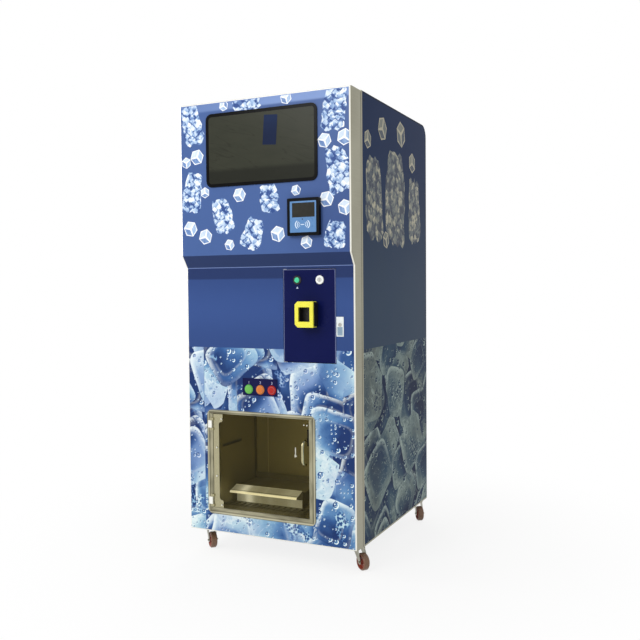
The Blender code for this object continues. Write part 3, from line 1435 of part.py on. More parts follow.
def button_plate():
    """Plate of the three choice buttons with their rims and sleeves."""
    x, z = left(CHOICE_LEFT), up(CHOICE_BOTTOM)
    hole = (CHOICE_BORE + CHOICE_SLEEVE) / 2
    holes = [arc(centre, hole, 0, 337.5, 15) for centre in choice_centres()]
    outline = rectangle(x, x + CHOICE_WIDTH, z, z + CHOICE_HEIGHT)
    item = add_part("button_plate", plate([outline, *holes], (-GAP - CHOICE_PLATE, -GAP), "XZ"), NAVY,
                    "door")
    profile = sleeve_profile(CHOICE_RIM, CHOICE_BORE, CHOICE_SLEEVE, CHOICE_LENGTH)
    seat = -GAP - CHOICE_PLATE / 2
    collars = [turned(profile, facing_front(x, seat, z), 16) for x, z in choice_centres()]
    join(item, merged(collars))
    return item


def choice_seat():
    return -GAP - CHOICE_PLATE - GAP


def choice_buttons():
    looks = (GREEN, ORANGE, RED)
    depth = CHOICE_LENGTH - BUTTON_TRAVEL
    for name, look, (x, z) in zip(CHOICE_NAMES, looks, choice_centres()):
        profile = plunger_profile(CHOICE_BORE - GAP, depth)
        add_part(name, turned(profile, facing_front(x, choice_seat(), z), 16), look, name)


# Door lock

def lock_sides():
    x_high = HALF - DOOR_LOCK_RIGHT
    z_low = up(DOOR_LOCK_BOTTOM)
    return x_high - DOOR_LOCK_WIDTH, x_high, z_low, z_low + DOOR_LOCK_HEIGHT


def lever_sides():
    x_low, x_high, z_low, _ = lock_sides()
    edge = LEVER_MARGIN + GAP
    return x_low + edge, x_high - edge, z_low + edge, z_low + edge + LEVER_HEIGHT


def key_centre():
    x_low, x_high, z_low, _ = lock_sides()
    return (x_low + x_high) / 2, z_low + KEY_RISE + KEY_RADIUS / 2


def bolt_range():
    """X range of the bolt when it is drawn back clear of the front post."""
    post_x = INNER_HALF - POST
    x_high = post_x - BOLT_CLEARANCE
    return lock_sides()[0] + DOOR_LOCK_RIM, x_high


def bolt_front():
    """Y of the bolt's front, so that the wall of its slot in the post holds it."""
    return FRAME_FRONT + STRIKE_WALL + SHEET


def lever_axis():
    _, _, z_low, _ = lever_sides()
    return -DOOR_LOCK_PROUD + LEVER_THICKNESS / 2, z_low + LEVER_THICKNESS / 2


def lock_body():
    """Flush lock case through the door, with a pocket for the lever and a bore for the key barrel."""
    x_low, x_high, z_low, z_high = lock_sides()
    front = -DOOR_LOCK_PROUD
    item = add_part("lock_body", boxes(((x_low, x_high), (front, -GAP), (z_low, z_high))), ZINC, "door")
    rim = DOOR_LOCK_RIM
    join(item, boxes(((x_low + rim, x_high - rim), (-GAP - SHEET / 2, DOOR_LOCK_DEPTH),
                      (z_low + rim, z_high - rim))))
    lx_low, lx_high, lz_low, lz_high = lever_sides()
    cut(item, boxes(((lx_low - GAP, lx_high + GAP), (front - OVERRUN, front + POCKET_DEPTH),
                     (lz_low - GAP, lz_high + GAP))))
    y, z = lever_axis()
    reach = LEVER_PIN + GAP * 2
    cut(item, rod((lx_low - reach, y, z), (lx_high + reach, y, z), LEVER_PIN + GAP, "X", 12))
    x, z = key_centre()
    cut(item, rod((x, front - OVERRUN, z), (x, DOOR_LOCK_DEPTH + OVERRUN, z), KEY_RADIUS + GAP, "Y", 16))
    return item


def lock_lever():
    """Pull lever in the lower half of the lock, ribbed, turning out about its lower edge."""
    x_low, x_high, z_low, z_high = lever_sides()
    front = -DOOR_LOCK_PROUD
    y, z = lever_axis()
    outline = arc((y, z), LEVER_THICKNESS / 2, 180, 360, 6)
    outline += [(front + LEVER_THICKNESS, z_high), (front, z_high)]
    item = add_part("lock_lever", plate([outline], (x_low, x_high), "YZ"), ZINC, "lock_lever")
    reach = LEVER_PIN
    join(item, rod((x_low - reach, y, z), (x_high + reach, y, z), LEVER_PIN, "X", 12))
    grooves = []
    pitch = LEVER_HEIGHT / (LEVER_GROOVES + 2)
    for place in range(2, LEVER_GROOVES + 2):
        groove = z_low + pitch * place
        grooves.append(((x_low + SHEET, x_high - SHEET), (front - OVERRUN, front + SHEET / 2),
                        (groove - SHEET / 2, groove + SHEET / 2)))
    cut(item, boxes(*grooves))
    return item


def key_barrel():
    x, z = key_centre()
    front = -DOOR_LOCK_PROUD - GAP
    item = add_part("key_barrel", rod((x, front, z), (x, bolt_front() - GAP, z), KEY_RADIUS, "Y", 16), ZINC,
                    "key_barrel")
    slot = KEY_RADIUS * KEY_SLOT_SHARE
    cut(item, boxes(((x - SHEET / 2, x + SHEET / 2), (front - OVERRUN, front + SHEET), (z - slot, z + slot))))
    return item


def lock_bolt():
    """Bolt behind the lock that slides into the front post."""
    x_low, x_high = bolt_range()
    z = up(DOOR_LOCK_BOTTOM + KEY_RISE)
    y = bolt_front()
    half = BOLT_HEIGHT / 2
    return add_part("lock_bolt", boxes(((x_low, x_high), (y, y + BOLT_DEPTH), (z - half, z + half))), ZINC,
                    "lock_bolt")


# Pickup opening

def jamb_sides():
    x_low = left(PICKUP_LEFT)
    z_low = up(PICKUP_BOTTOM)
    return (x_low + PICKUP_SIDE, x_low + PICKUP_WIDTH - PICKUP_SIDE,
            z_low + PICKUP_BASE, z_low + PICKUP_HEIGHT - PICKUP_HEAD)


def pickup_face():
    return -GAP - PICKUP_FACE


def pickup_frame():
    """Stainless frame round the opening: jamb through the door, hinge blocks and their pins."""
    x_low, x_high, z_low, z_high = jamb_sides()
    x, z = left(PICKUP_LEFT), up(PICKUP_BOTTOM)
    outer = rounded(x, x + PICKUP_WIDTH, z, z + PICKUP_HEIGHT, PICKUP_RADIUS, 3)
    inner = rectangle(x_low, x_high, z_low, z_high)
    item = add_part("pickup_frame", plate([outer, inner], (pickup_face(), -GAP), "XZ"), STEEL, "door")
    tube = rectangle(x_low - SHEET, x_high + SHEET, z_low - SHEET, z_high + SHEET)
    join(item, plate([tube, inner], (-GAP - PICKUP_FACE / 2, JAMB_DEPTH), "XZ"))
    x, y = pickup_axis()
    spans = block_spans()
    join(item, boxes(*[((x - KNUCKLE_WIDTH_LEFT, x + KNUCKLE_WIDTH_RIGHT),
                        (-KNUCKLE_PROUD, -GAP - PICKUP_FACE / 2), span) for span in spans]))
    join(item, rods(*[((x, y, (low + high) / 2), PICKUP_PIN, high - low + 2 * KNUCKLE_LENGTH, "Z")
                      for low, high in spans], sides=10))
    return item


def pickup_axis():
    return left(PICKUP_LEFT + PICKUP_AXIS_LEFT), -PICKUP_AXIS_PROUD


def block_spans():
    """Z ranges of the two hinge blocks, lower one first."""
    z = up(PICKUP_BOTTOM)
    return [(z + low, z + low + HINGE_BLOCK) for low in (HINGE_LOWER, HINGE_UPPER)]


def panel_face():
    return pickup_face() + GAP


def pickup_panel():
    """Tinted acrylic door in the jamb."""
    x_low, x_high, z_low, z_high = jamb_sides()
    edge = PANEL_GAP
    front = panel_face()
    return add_part("pickup_panel",
                    boxes(((x_low + edge, x_high - edge), (front, front + PANEL_THICKNESS),
                           (z_low + edge, z_high - edge))), SMOKED, "pickup_door")


def pickup_strip():
    """Hinge strip on the panel's left edge, widened at both ends, with knuckles on the pins."""
    _, _, z_low, z_high = jamb_sides()
    bottom, top = z_low + PANEL_GAP, z_high - PANEL_GAP
    x = left(PICKUP_LEFT) + STRIP_LEFT
    narrow, wide = x + STRIP_WIDTH, x + STRIP_WIDTH + STRIP_EAR
    ear, bend = STRIP_EAR_HEIGHT, STRIP_EAR / 2
    outline = [(x, bottom), (wide, bottom)]
    outline += [(wide, bottom + ear - bend)]
    outline += arc((wide - bend, bottom + ear - bend), bend, 0, 90, 3)[1:]
    outline += arc((narrow + bend, bottom + ear + bend), bend, 270, 180, 3)
    outline += arc((narrow + bend, top - ear - bend), bend, 180, 90, 3)
    outline += arc((wide - bend, top - ear + bend), bend, 270, 360, 3)
    outline += [(wide, top), (x, top)]
    back = panel_face() - GAP
    item = add_part("pickup_strip", plate([outline], (back - STRIP_THICKNESS, back), "XZ"), STEEL,
                    "pickup_door")
    axis_x, axis_y = pickup_axis()
    ranges = []
    knuckles = []
    bores = []
    for low, high in block_spans():
        for start in (low - GAP - KNUCKLE_LENGTH, high + GAP):
            end = start + KNUCKLE_LENGTH
            ranges.append(((axis_x, x + STRIP_THICKNESS), (axis_y - STRIP_THICKNESS, back - GAP),
                           (start, end)))
            middle = (start + end) / 2
            knuckles.append(((axis_x, axis_y, middle), KNUCKLE, end - start, "Z"))
            bores.append(((axis_x, axis_y, middle), PICKUP_PIN + GAP, end - start + OVERRUN, "Z"))
    join(item, boxes(*ranges))
    join(item, rods(*knuckles, sides=10))
    cut(item, rods(*bores, sides=10))
    return item


def pull_handle():
    """Bent rod handle near the panel's free edge."""
    x = left(PICKUP_LEFT + PICKUP_WIDTH - HANDLE_RIGHT)
    bottom = up(PICKUP_BOTTOM + HANDLE_BOTTOM) + HANDLE_ROD
    top = bottom + HANDLE_HEIGHT - 2 * HANDLE_ROD
    back = panel_face() - GAP
    front = back - HANDLE_REACH
    bend = HANDLE_BEND
    line = [(back, bottom)]
    line += arc((front + bend, bottom + bend), bend, 270, 180, 4)
    line += arc((front + bend, top - bend), bend, 180, 90, 4)
    line += [(back, top)]
    curve = bpy.data.curves.new("handle", "CURVE")
    curve.dimensions = "3D"
    curve.bevel_depth = HANDLE_ROD
    curve.bevel_resolution = 2
    curve.use_fill_caps = True
    spline = curve.splines.new("POLY")
    spline.points.add(len(line) - 1)
    for point, (y, z) in zip(spline.points, line):
        point.co = (x, y, z, 1)
    return add_part("pull_handle", evaluated_bmesh(bpy.data.objects.new("handle", curve)), ZINC,
                    "pickup_door")


# Casters

def caster_places():
    """Swivel axes of the four casters."""
    x = HALF - CASTER_INSET
    front, rear = CASTER_FRONT, DEPTH - CASTER_REAR
    return {"front_left": (-x, front), "front_right": (x, front),
            "rear_left": (-x, rear), "rear_right": (x, rear)}


def caster_fork(name, body):
    """Crown and two legs that trail back to the axle, in the swivel's own frame."""
    top = BODY_BOTTOM - CASTER_PLATE_THICKNESS - RACE_HEIGHT - GAP
    low = top - CROWN_THICKNESS
    item = add_part(name, rod((0, 0, low), (0, 0, top), CROWN_RADIUS, "Z", 14), ZINC, body, local=True)
    radius, end = CROWN_RADIUS * CROWN_SHARE, LEG_END
    shoulder = low - CROWN_THICKNESS
    outline = [(radius, top - SHEET / 2), (-radius, top - SHEET / 2), (-radius, shoulder)]
    outline += arc((-TRAIL, WHEEL_RADIUS), end, 150, 360, 6)
    outline += [(radius, shoulder)]
    inner = WHEEL_WIDTH / 2 + WHEEL_SIDE_GAP
    spans = ((-inner - LEG_THICKNESS, -inner), (inner, inner + LEG_THICKNESS))
    join(item, merged([plate([outline], span, "YZ") for span in spans]))
    reach = inner + LEG_THICKNESS + AXLE_OVERHANG
    join(item, rod((-reach, -TRAIL, WHEEL_RADIUS), (reach, -TRAIL, WHEEL_RADIUS), AXLE_RADIUS, "X", 8))
    return item


def wheel_profile():
    """Closed section of a wheel with hub, web and rounded tread; height runs along the axle."""
    half = WHEEL_WIDTH / 2
    web = WHEEL_WEB / 2
    bore = AXLE_RADIUS + GAP
    upper = [(bore, half), (WHEEL_HUB, half), (WHEEL_HUB, web), (WHEEL_RIM, web),
             (WHEEL_RIM + TREAD_ROUND, half), (WHEEL_RADIUS - TREAD_ROUND, half),
             (WHEEL_RADIUS, half - TREAD_ROUND)]
    return upper + [(radius, -height) for radius, height in reversed(upper)]


def casters():
    for place, (x, y) in caster_places().items():
        swivel, wheel = place + "_swivel", place + "_wheel"
        turn = math.radians(CASTER_HEADINGS[place])
        add_body(swivel, (x, y, 0), "cabinet", turn)
        add_body(wheel, (x, y, 0), swivel)
        BODIES[wheel]["empty"].location = (0, -TRAIL, WHEEL_RADIUS)
        caster_fork(place + "_fork", swivel)
        across = Matrix.Rotation(math.pi / 2, 4, "Y")
        add_part(wheel, turned(wheel_profile(), across, WHEEL_STEPS), TREAD, wheel, local=True)


def add_bodies():
    """Root empty, and one empty on each joint's axis."""
    root = bpy.data.objects.new("machine", None)
    PARTS.objects.link(root)
    root.location = (-CENTRE_X, -CENTRE_Y, 0)
    BODIES["cabinet"] = {"empty": root, "place": Vector((0, 0, 0))}
    add_body("auger", (0, BIN_FRONT + BIN_WALL, AUGER_Z), "cabinet")
    y, z = flap_axis()
    add_body("chute_flap", (0, y, z), "cabinet")
    add_body("fan", fan_centre(), "cabinet")
    x, y = pivot_axis()
    add_body("door", (x, y, DOOR_BOTTOM), "cabinet")
    x, y = payment_axis()
    add_body("payment_door", (x, y, payment_sides()[2]), "door")
    x_low, _, _, z_high = payment_sides()
    z = z_high - TOP_ROW_DROP
    seat = -PAYMENT_PROUD - GAP
    add_body("start_button", (x_low + START_LEFT, seat, z), "payment_door")
    add_body("payment_lock", (x_low + LOCK_LEFT, seat, z), "payment_door")
    for name, (x, z) in zip(CHOICE_NAMES, choice_centres()):
        add_body(name, (x, choice_seat(), z), "door")
    y, z = lever_axis()
    x = key_centre()[0]
    add_body("lock_lever", (x, y, z), "door")
    add_body("key_barrel", (x, -DOOR_LOCK_PROUD, key_centre()[1]), "door")
    add_body("lock_bolt", (bolt_range()[1], bolt_front(), up(DOOR_LOCK_BOTTOM + KEY_RISE)), "door")
    x, y = pickup_axis()
    add_body("pickup_door", (x, y, up(PICKUP_BOTTOM)), "door")


def build():
    add_bodies()
    base_frame()
    side_panel("left_side_panel", -1)
    side_panel("right_side_panel", 1)
    top_cover()
    rear_panel()
    rack_frame()
    pivot_brackets()
    pickup_cabin()
    floor_grille()
    bag_tray()
    ice_bin()
    auger()
    auger_motor()
    ice_chute()
    chute_flap()
    ice_maker_housing()
    evaporator()
    compressor()
    condenser()
    fan_shroud()
    condenser_fan()
    door_shell()
    door_gasket()
    screen_bezel()
    screen_glass()
    display_module()
    control_box()
    reader_housing()
    reader_face()
    payment_surround()
    payment_panel()
    bill_bezel()
    bill_acceptor()
    payment_collars()
    start_button()
    payment_lock()
    button_plate()
    choice_buttons()
    lock_body()
    lock_lever()
    key_barrel()
    lock_bolt()
    pickup_frame()
    pickup_panel()
    pickup_strip()
    pull_handle()
    casters()


build()
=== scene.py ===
"""Ice vending machine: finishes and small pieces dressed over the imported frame.

Places follow the cabinet: U runs right from its left side, V back from the lower face of the
door, H up from the cabinet's bottom edge, all in metres.
"""
import math
import random

import bmesh
import bpy
from bpy.props import FloatProperty, FloatVectorProperty, PointerProperty
from mathutils import Matrix, Vector


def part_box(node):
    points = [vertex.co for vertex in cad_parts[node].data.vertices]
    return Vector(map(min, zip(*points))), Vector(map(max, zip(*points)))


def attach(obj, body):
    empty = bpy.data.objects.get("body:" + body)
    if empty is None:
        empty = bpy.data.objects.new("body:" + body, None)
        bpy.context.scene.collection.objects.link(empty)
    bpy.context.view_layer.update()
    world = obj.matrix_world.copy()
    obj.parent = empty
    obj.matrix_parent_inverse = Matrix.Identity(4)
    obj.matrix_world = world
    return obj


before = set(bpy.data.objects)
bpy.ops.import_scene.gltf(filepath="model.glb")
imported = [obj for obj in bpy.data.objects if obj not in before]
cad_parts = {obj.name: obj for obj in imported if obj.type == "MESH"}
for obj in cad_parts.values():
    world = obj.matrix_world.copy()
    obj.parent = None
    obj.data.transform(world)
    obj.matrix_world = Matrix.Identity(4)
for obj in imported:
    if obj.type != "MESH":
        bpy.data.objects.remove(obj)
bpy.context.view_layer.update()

bl_info = {
    "name": "Ice Vending Machine",
    "version": (1, 0, 0),
    "blender": (4, 5, 0),
    "location": "3D View > Sidebar > Ice Machine",
    "description": "Finishes, small fittings and a studio for an ice vending machine",
    "category": "Object",
}

FASCIA_PROUD = 0.0374       # the fascia in front of the door's lower face
LEFT_PANEL, RIGHT_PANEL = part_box("left_side_panel"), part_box("right_side_panel")
LEFT_X = LEFT_PANEL[0][0]
RIGHT_X = RIGHT_PANEL[1][0]
BASE_Z = LEFT_PANEL[0][2]
TOP_Z = LEFT_PANEL[1][2]
FACE_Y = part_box("door_shell")[0][1] + FASCIA_PROUD
WIDTH = RIGHT_X - LEFT_X
HEIGHT = TOP_Z - BASE_Z
SLOPE_TOP = 1.277           # H of the slope under the fascia
SLOPE_LOW = 1.222
DEPTH = LEFT_PANEL[1][1] - FACE_Y
FILM_SEAM = 0.0885          # U where two strips of the front's film meet


def at(u, v, h):
    """World point from cabinet places."""
    return Vector((LEFT_X + u, FACE_Y + v, BASE_Z + h))


def tint(red, green, blue):
    """Linear colour from the usual 0 to 255 values."""
    def linear(value):
        value /= 255
        return value / 12.92 if value < 0.04045 else ((value + 0.055) / 1.055) ** 2.4
    return linear(red), linear(green), linear(blue), 1.0


def shade(colour, factor, lift=0.0):
    """Darker or paler form of a colour."""
    return (*(min(1.0, part * factor + lift) for part in colour[:3]), 1.0)


def corners(name):
    """Lowest and highest corner of a frame node."""
    low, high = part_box(name)
    return Vector(low), Vector(high)


BLACK = tint(0, 0, 0)


# Settings

class SheetSettings(bpy.types.PropertyGroup):
    """Film and print on the door and side panels."""
    fascia_colour: FloatVectorProperty(
        name="Fascia", description="Film on the upper half of the door", subtype="COLOR", size=4,
        default=tint(70, 97, 152), min=0, max=1)
    fascia_top_colour: FloatVectorProperty(
        name="Fascia top", description="Film along the door's top edge", subtype="COLOR", size=4,
        default=tint(128, 154, 206), min=0, max=1)
    slope_colour: FloatVectorProperty(
        name="Slope", description="Film on the slope under the fascia", subtype="COLOR", size=4,
        default=tint(36, 54, 98), min=0, max=1)
    face_colour: FloatVectorProperty(
        name="Lower face", description="Plain film above the ice print", subtype="COLOR", size=4,
        default=tint(54, 80, 138), min=0, max=1)
    side_colour: FloatVectorProperty(
        name="Side", description="Film on the upper part of the side panels", subtype="COLOR",
        size=4, default=tint(20, 42, 80), min=0, max=1)
    print_height: FloatProperty(
        name="Print height", description="Top edge of the ice print above the cabinet's bottom",
        default=0.859, unit="LENGTH")


class StageSettings(bpy.types.PropertyGroup):
    """Camera and light."""
    lens: FloatProperty(name="Lens", description="Focal length in millimetres", default=45.176)
    key_power: FloatProperty(name="Key light", description="Power of the main lamp in watts",
                             default=128.0)
    fill_power: FloatProperty(name="Fill light", description="Power of the side lamp in watts",
                              default=46.0)
    world_level: FloatProperty(name="World level", description="Strength of the ambient light",
                               default=0.6)


# Shader maths

def is_vector(value):
    """Whether a wire or a value has three parts."""
    return value.vector if isinstance(value, Wire) else isinstance(value, tuple)


class Wire:
    """Output of a shader node. Sums and products of wires add Math and Vector Math nodes."""

    def __init__(self, look, socket):
        self.look = look
        self.socket = socket
        self.vector = socket.type in ("VECTOR", "RGBA")

    def join(self, operation, first, second):
        kind = "VectorMath" if is_vector(first) or is_vector(second) else "Math"
        return self.look.node(kind, {0: first, 1: second}, operation=operation)

    def __add__(self, other):
        return self.join("ADD", self, other)

    __radd__ = __add__

    def __sub__(self, other):
        return self.join("SUBTRACT", self, other)

    def __rsub__(self, other):
        return self.join("SUBTRACT", other, self)

    def __mul__(self, other):
        if self.vector and not is_vector(other):
            return self.look.node("VectorMath", {0: self, 3: other}, operation="SCALE")
        return self.join("MULTIPLY", self, other)

    __rmul__ = __mul__

    def __truediv__(self, other):
        return self.join("DIVIDE", self, other)

    def __pow__(self, other):
        return self.join("POWER", self, other)

    def __abs__(self):
        return self.look.node("VectorMath" if self.vector else "Math", {0: self}, operation="ABSOLUTE")

    def larger(self, other):
        return self.join("MAXIMUM", self, other)

    def smaller(self, other):
        return self.join("MINIMUM", self, other)

    def over(self, edge, soft):
        """0 below an edge and 1 above it, with a soft step."""
        return self.look.node("MapRange", {0: self, 1: edge - soft, 2: edge + soft},
                              interpolation_type="SMOOTHSTEP")

    def under(self, edge, soft):
        return 1 - self.over(edge, soft)


class Look:
    """One material, or the world, and the nodes that give it its finish."""

    def __init__(self, name, kind="materials"):
        self.owner = getattr(bpy.data, kind).new(name)
        self.owner.use_nodes = True
        self.tree = self.owner.node_tree
        self.shader = self.tree.nodes.get("Principled BSDF")

    def node(self, kind, inputs=None, output=0, stops=None, **settings):
        """Add a node: its settings first, then the values or links of its sockets."""
        node = self.tree.nodes.new("ShaderNode" + kind)
        for key, value in settings.items():
            setattr(node, key, value)
        if stops:
            elements = node.color_ramp.elements
            while len(elements) < len(stops):
                elements.new(1.0)
            for element, (place, colour) in zip(elements, stops):
                element.position = place
                element.color = colour
        for key, value in (inputs or {}).items():
            if isinstance(value, Wire):
                self.tree.links.new(value.socket, node.inputs[key])
            else:
                node.inputs[key].default_value = value
        return Wire(self, node.outputs[output])

    def place(self):
        """Object coordinates, which are the world's at rest."""
        return self.node("TexCoord", output="Object")

    def split(self, vector):
        first = self.node("SeparateXYZ", {0: vector})
        outputs = first.socket.node.outputs
        return [Wire(self, outputs[index]) for index in range(3)]

    def merge(self, x, y, z):
        return self.node("CombineXYZ", {0: x, 1: y, 2: z})

    def noise(self, vector, scale, detail=2.0, rough=0.5, warp=0.0):
        return self.node("TexNoise", {"Vector": vector, "Scale": scale, "Detail": detail,
                                      "Roughness": rough, "Distortion": warp})

    def cells(self, vector, scale, randomness=1.0, metric="EUCLIDEAN"):
        """Distance, colour and centre of the Voronoi cell round each point."""
        first = self.node("TexVoronoi", {"Vector": vector, "Scale": scale, "Randomness": randomness},
                          voronoi_dimensions="2D", distance=metric)
        outputs = first.socket.node.outputs
        return [Wire(self, outputs[name]) for name in ("Distance", "Color", "Position")]

    def mix(self, factor, first, second):
        return self.node("Mix", {0: factor, 6: first, 7: second}, output=2, data_type="RGBA",
                         clamp_factor=True)

    def layers(self, colour, *layers):
        """Lay colours over a first one, each by its own share."""
        for share, other in layers:
            colour = self.mix(share, colour, other)
        return colour

    def set(self, **values):
        """Link or set the shader's sockets, such as base_color or roughness."""
        for key, value in values.items():
            name = {"ior": "IOR", "transmission": "Transmission Weight", "coat": "Coat Weight",
                    "coat_roughness": "Coat Roughness", "emission": "Emission Color",
                    "emission_strength": "Emission Strength",
                    "specular_ior_level": "Specular IOR Level"}.get(key, key.replace("_", " ").title())
            socket = self.shader.inputs[name]
            if isinstance(value, Wire):
                self.tree.links.new(value.socket, socket)
            else:
                socket.default_value = value
        return self

    def bump(self, height, strength, distance):
        normal = self.node("Bump", {"Height": height, "Strength": strength, "Distance": distance})
        return self.set(normal=normal)

    def surface(self, *inputs):
        """Mix two shaders by a factor and link them to the output."""
        mixed = self.node("MixShader", dict(enumerate(inputs)))
        output = next(node for node in self.tree.nodes if node.type.startswith("OUTPUT"))
        self.tree.links.new(mixed.socket, output.inputs["Surface"])
        return self

    def seen(self):
        """1 for what the camera sees directly, mirrored or through glass."""
        outputs = self.node("LightPath").socket.node.outputs
        camera, glossy, through = (Wire(self, outputs[f"Is {kind} Ray"])
                                   for kind in ("Camera", "Glossy", "Transmission"))
        return camera.larger(glossy).larger(through)

    def length(self, vector):
        return self.node("VectorMath", {0: vector}, operation="LENGTH", output="Value")

    def paint(self):
        """Colour that feeds the shader so far."""
        return Wire(self, self.shader.inputs["Base Color"].links[0].from_socket)

    def put(self, *names):
        """Give this finish to frame nodes."""
        for name in names:
            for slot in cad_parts[name].material_slots:
                slot.material = self.owner


# Finishes

def brushed(name, colour, grain, rough=0.34, metallic=0.9):
    """Brushed sheet steel; grain is the direction across the fine lines."""
    look = Look(name)
    p = look.place()
    stretch = tuple(1400.0 if axis == grain else 14.0 for axis in "XYZ")
    lines = look.noise(p * stretch, 1.0, 2.0, 0.5)
    cloud = look.noise(p, 5.0, 2.0, 0.5)
    dark = shade(colour, 0.78)
    light = shade(colour, 1.12)
    base = look.layers(colour, (cloud.over(0.5, 0.3) * 0.4, dark), (lines.over(0.5, 0.35) * 0.35, light))
    look.set(base_color=base, metallic=metallic,
             roughness=rough + (lines - 0.5) * 0.08 + (cloud - 0.5) * 0.1)
    return look.bump(lines, 0.05, 0.0002)


def galvanised(name, colour):
    """Zinc spangle on plain sheet."""
    look = Look(name)
    p = look.place()
    spots = look.node("TexVoronoi", {"Vector": p, "Scale": 95.0}, output="Color")
    tone = look.split(spots)[0]
    cloud = look.noise(p, 5.0, 3.0)
    dark = shade(colour, 0.74)
    look.set(base_color=look.mix(tone * 0.55 + cloud * 0.3, colour, dark), metallic=0.9,
             roughness=0.38 + tone * 0.16)
    return look.bump(tone, 0.05, 0.0003)


def plated(name, colour, rough, wear=0.5):
    """Zinc or nickel plating with slight marks."""
    look = Look(name)
    p = look.place()
    cloud = look.noise(p, 60.0, 4.0, 0.6)
    marks = look.noise(p * (1.0, 1.0, 3.0), 240.0, 2.0, 0.7)
    dark = shade(colour, 0.6)
    look.set(base_color=look.mix(cloud.over(0.55, 0.2) * wear, colour, dark), metallic=1.0,
             roughness=rough + (cloud - 0.5) * 0.3 + (marks - 0.5) * 0.1)
    return look.bump(marks, 0.06, 0.0003)


def moulded(name, colour, rough, grain=900.0, depth=0.12):
    """Moulded plastic with a fine texture and a little dust in it."""
    look = Look(name)
    p = look.place()
    fine = look.noise(p, grain, 2.0, 0.6)
    cloud = look.noise(p, 22.0, 3.0)
    light = shade(colour, 1.25, 0.012)
    look.set(base_color=look.mix(cloud * 0.6, colour, light), roughness=rough + (cloud - 0.5) * 0.14)
    return look.bump(fine, depth, 0.0003)


def painted(name, colour, rough):
    """Smooth coat of paint with a trace of orange peel."""
    look = Look(name)
    p = look.place()
    peel = look.noise(p, 320.0, 2.0, 0.5)
    cloud = look.noise(p, 6.0, 3.0)
    light = shade(colour, 1.3, 0.003)
    look.set(base_color=look.mix(cloud.over(0.5, 0.3) * 0.6, colour, light),
             roughness=rough + (cloud - 0.5) * 0.1, specular_ior_level=0.08)
    return look.bump(peel, 0.08, 0.0002)


LENS_RIM, LENS_RIBS = (0.0135, 0.0015), 2600.0       # radius where the rim starts, radians of ribs a metre


def lens(name, colour, centre):
    """Coloured push-button lens, paler towards its rim, with a ribbed inside."""
    look = Look(name)
    p = look.place() - tuple(centre)
    x, _, z = look.split(p)
    radius = (x * x + z * z) ** 0.5
    rings = look.node("Math", {0: radius * LENS_RIBS}, operation="SINE")
    pale = shade(colour, 0.45, 0.5)
    tone = look.layers(colour, (radius.over(*LENS_RIM) * 0.16, pale), (rings.over(0.0, 1.0) * 0.08, pale))
    look.set(base_color=tone, roughness=0.24 + rings * 0.03, specular_ior_level=0.1, coat=0.08,
             coat_roughness=0.05, emission=tone, emission_strength=0.06)
    return look.bump(rings, 0.03, 0.0004)


# Ice print

ICE_TONES = ((0.0, tint(26, 52, 106)), (0.18, tint(52, 92, 150)), (0.36, tint(98, 142, 188)),
             (0.56, tint(142, 182, 210)), (0.78, tint(190, 220, 230)), (1.0, tint(244, 252, 250)))
SIDE_TONES = ((0.0, tint(14, 32, 64)), (0.24, tint(30, 54, 84)), (0.44, tint(50, 76, 98)),
              (0.62, tint(78, 99, 110)), (0.82, tint(120, 136, 134)), (1.0, tint(172, 188, 182)))
DROPS = ((15.0, 0.17, 0.30), (26.0, 0.20, 0.34), (52.0, 0.2, 0.28))    # drops a metre, size, share
LAVENDER = tint(150, 158, 206)
UMBER = tint(66, 62, 58)
BLOCKS = ((4.3, 0.60, 1.0), (4.2, 0.47, 0.8), (3.5, 0.44, 0.62))   # cells a metre, half size, share


def ice_block(look, p, scale, half_share, seed, keep):
    """Rounded block in each cell of a jumble: its cover, shadow, light, window and bright edge."""
    shifted = p + (seed * 0.173, seed * 0.311, 0.0)
    _, colour, centre = look.cells(shifted, scale, 0.72)
    red, green, blue = look.split(colour)
    away = shifted - centre
    local = look.node("VectorRotate", {"Vector": away, "Angle": red * math.tau}, rotation_type="Z_AXIS")
    half = half_share / scale
    x, y, _ = look.split(local)
    u, v = x / half, y / (green * 0.35 + 0.75) / half
    outer = (abs(u) ** 5.0 + abs(v) ** 5.0) ** 0.2
    there = blue.over(1.0 - keep, 0.01)
    cover = outer.under(1.0, 0.012) * there
    shadow = outer.under(1.24, 0.24) * there
    side_x, side_y, _ = look.split(away)
    facing = ((side_y - side_x * 0.7) / half).over(0.1, 0.75)
    back_u, back_v = u * 1.5 + (blue - 0.5) * 0.7, v * 1.5 + (green - 0.5) * 0.7
    window = (abs(back_u) ** 4.0 + abs(back_v) ** 4.0) ** 0.25
    sheen = u * 0.36 + v * 0.18 + (green - 0.45) * 0.8 + 0.69
    edge = outer.over(0.86, 0.11) * outer.under(1.0, 0.02) * (facing * 0.75 + 0.12)
    inner_edge = abs(window - 1.0).under(0.05, 0.08) * (1 - facing * 0.6) * 0.26
    return cover, shadow, sheen, window.under(1.0, 0.26), edge.larger(inner_edge)


def droplets(look, p, scale, reach, seed, keep):
    """Water drops: how much they cover, and their tone from a dark side to a bright one."""
    shifted = p + (seed * 0.37, seed * 0.21, 0.0)
    distance, colour, centre = look.cells(shifted, scale, 1.0)
    red, green, _ = look.split(colour)
    radius = (green * reach + reach * 0.45)
    ratio = distance / radius
    there = red.over(1.0 - keep, 0.01)
    x, y, _ = look.split((shifted - centre) * scale)
    across = (x - y) / radius
    cover = ratio.under(1.0, 0.12) * there
    rim = abs(ratio - 0.78).under(0.16, 0.12)
    spot_x, spot_y = x / radius + 0.30, y / radius - 0.34
    spot = ((spot_x * spot_x + spot_y * spot_y) ** 0.5).under(0.26, 0.10)
    return cover, (across * 0.20 + 0.28 + rim * (across.over(-0.2, 0.7) * 1.3 - 0.34)).larger(spot)


def blend(tone, other, factor):
    return tone + (other - tone) * factor


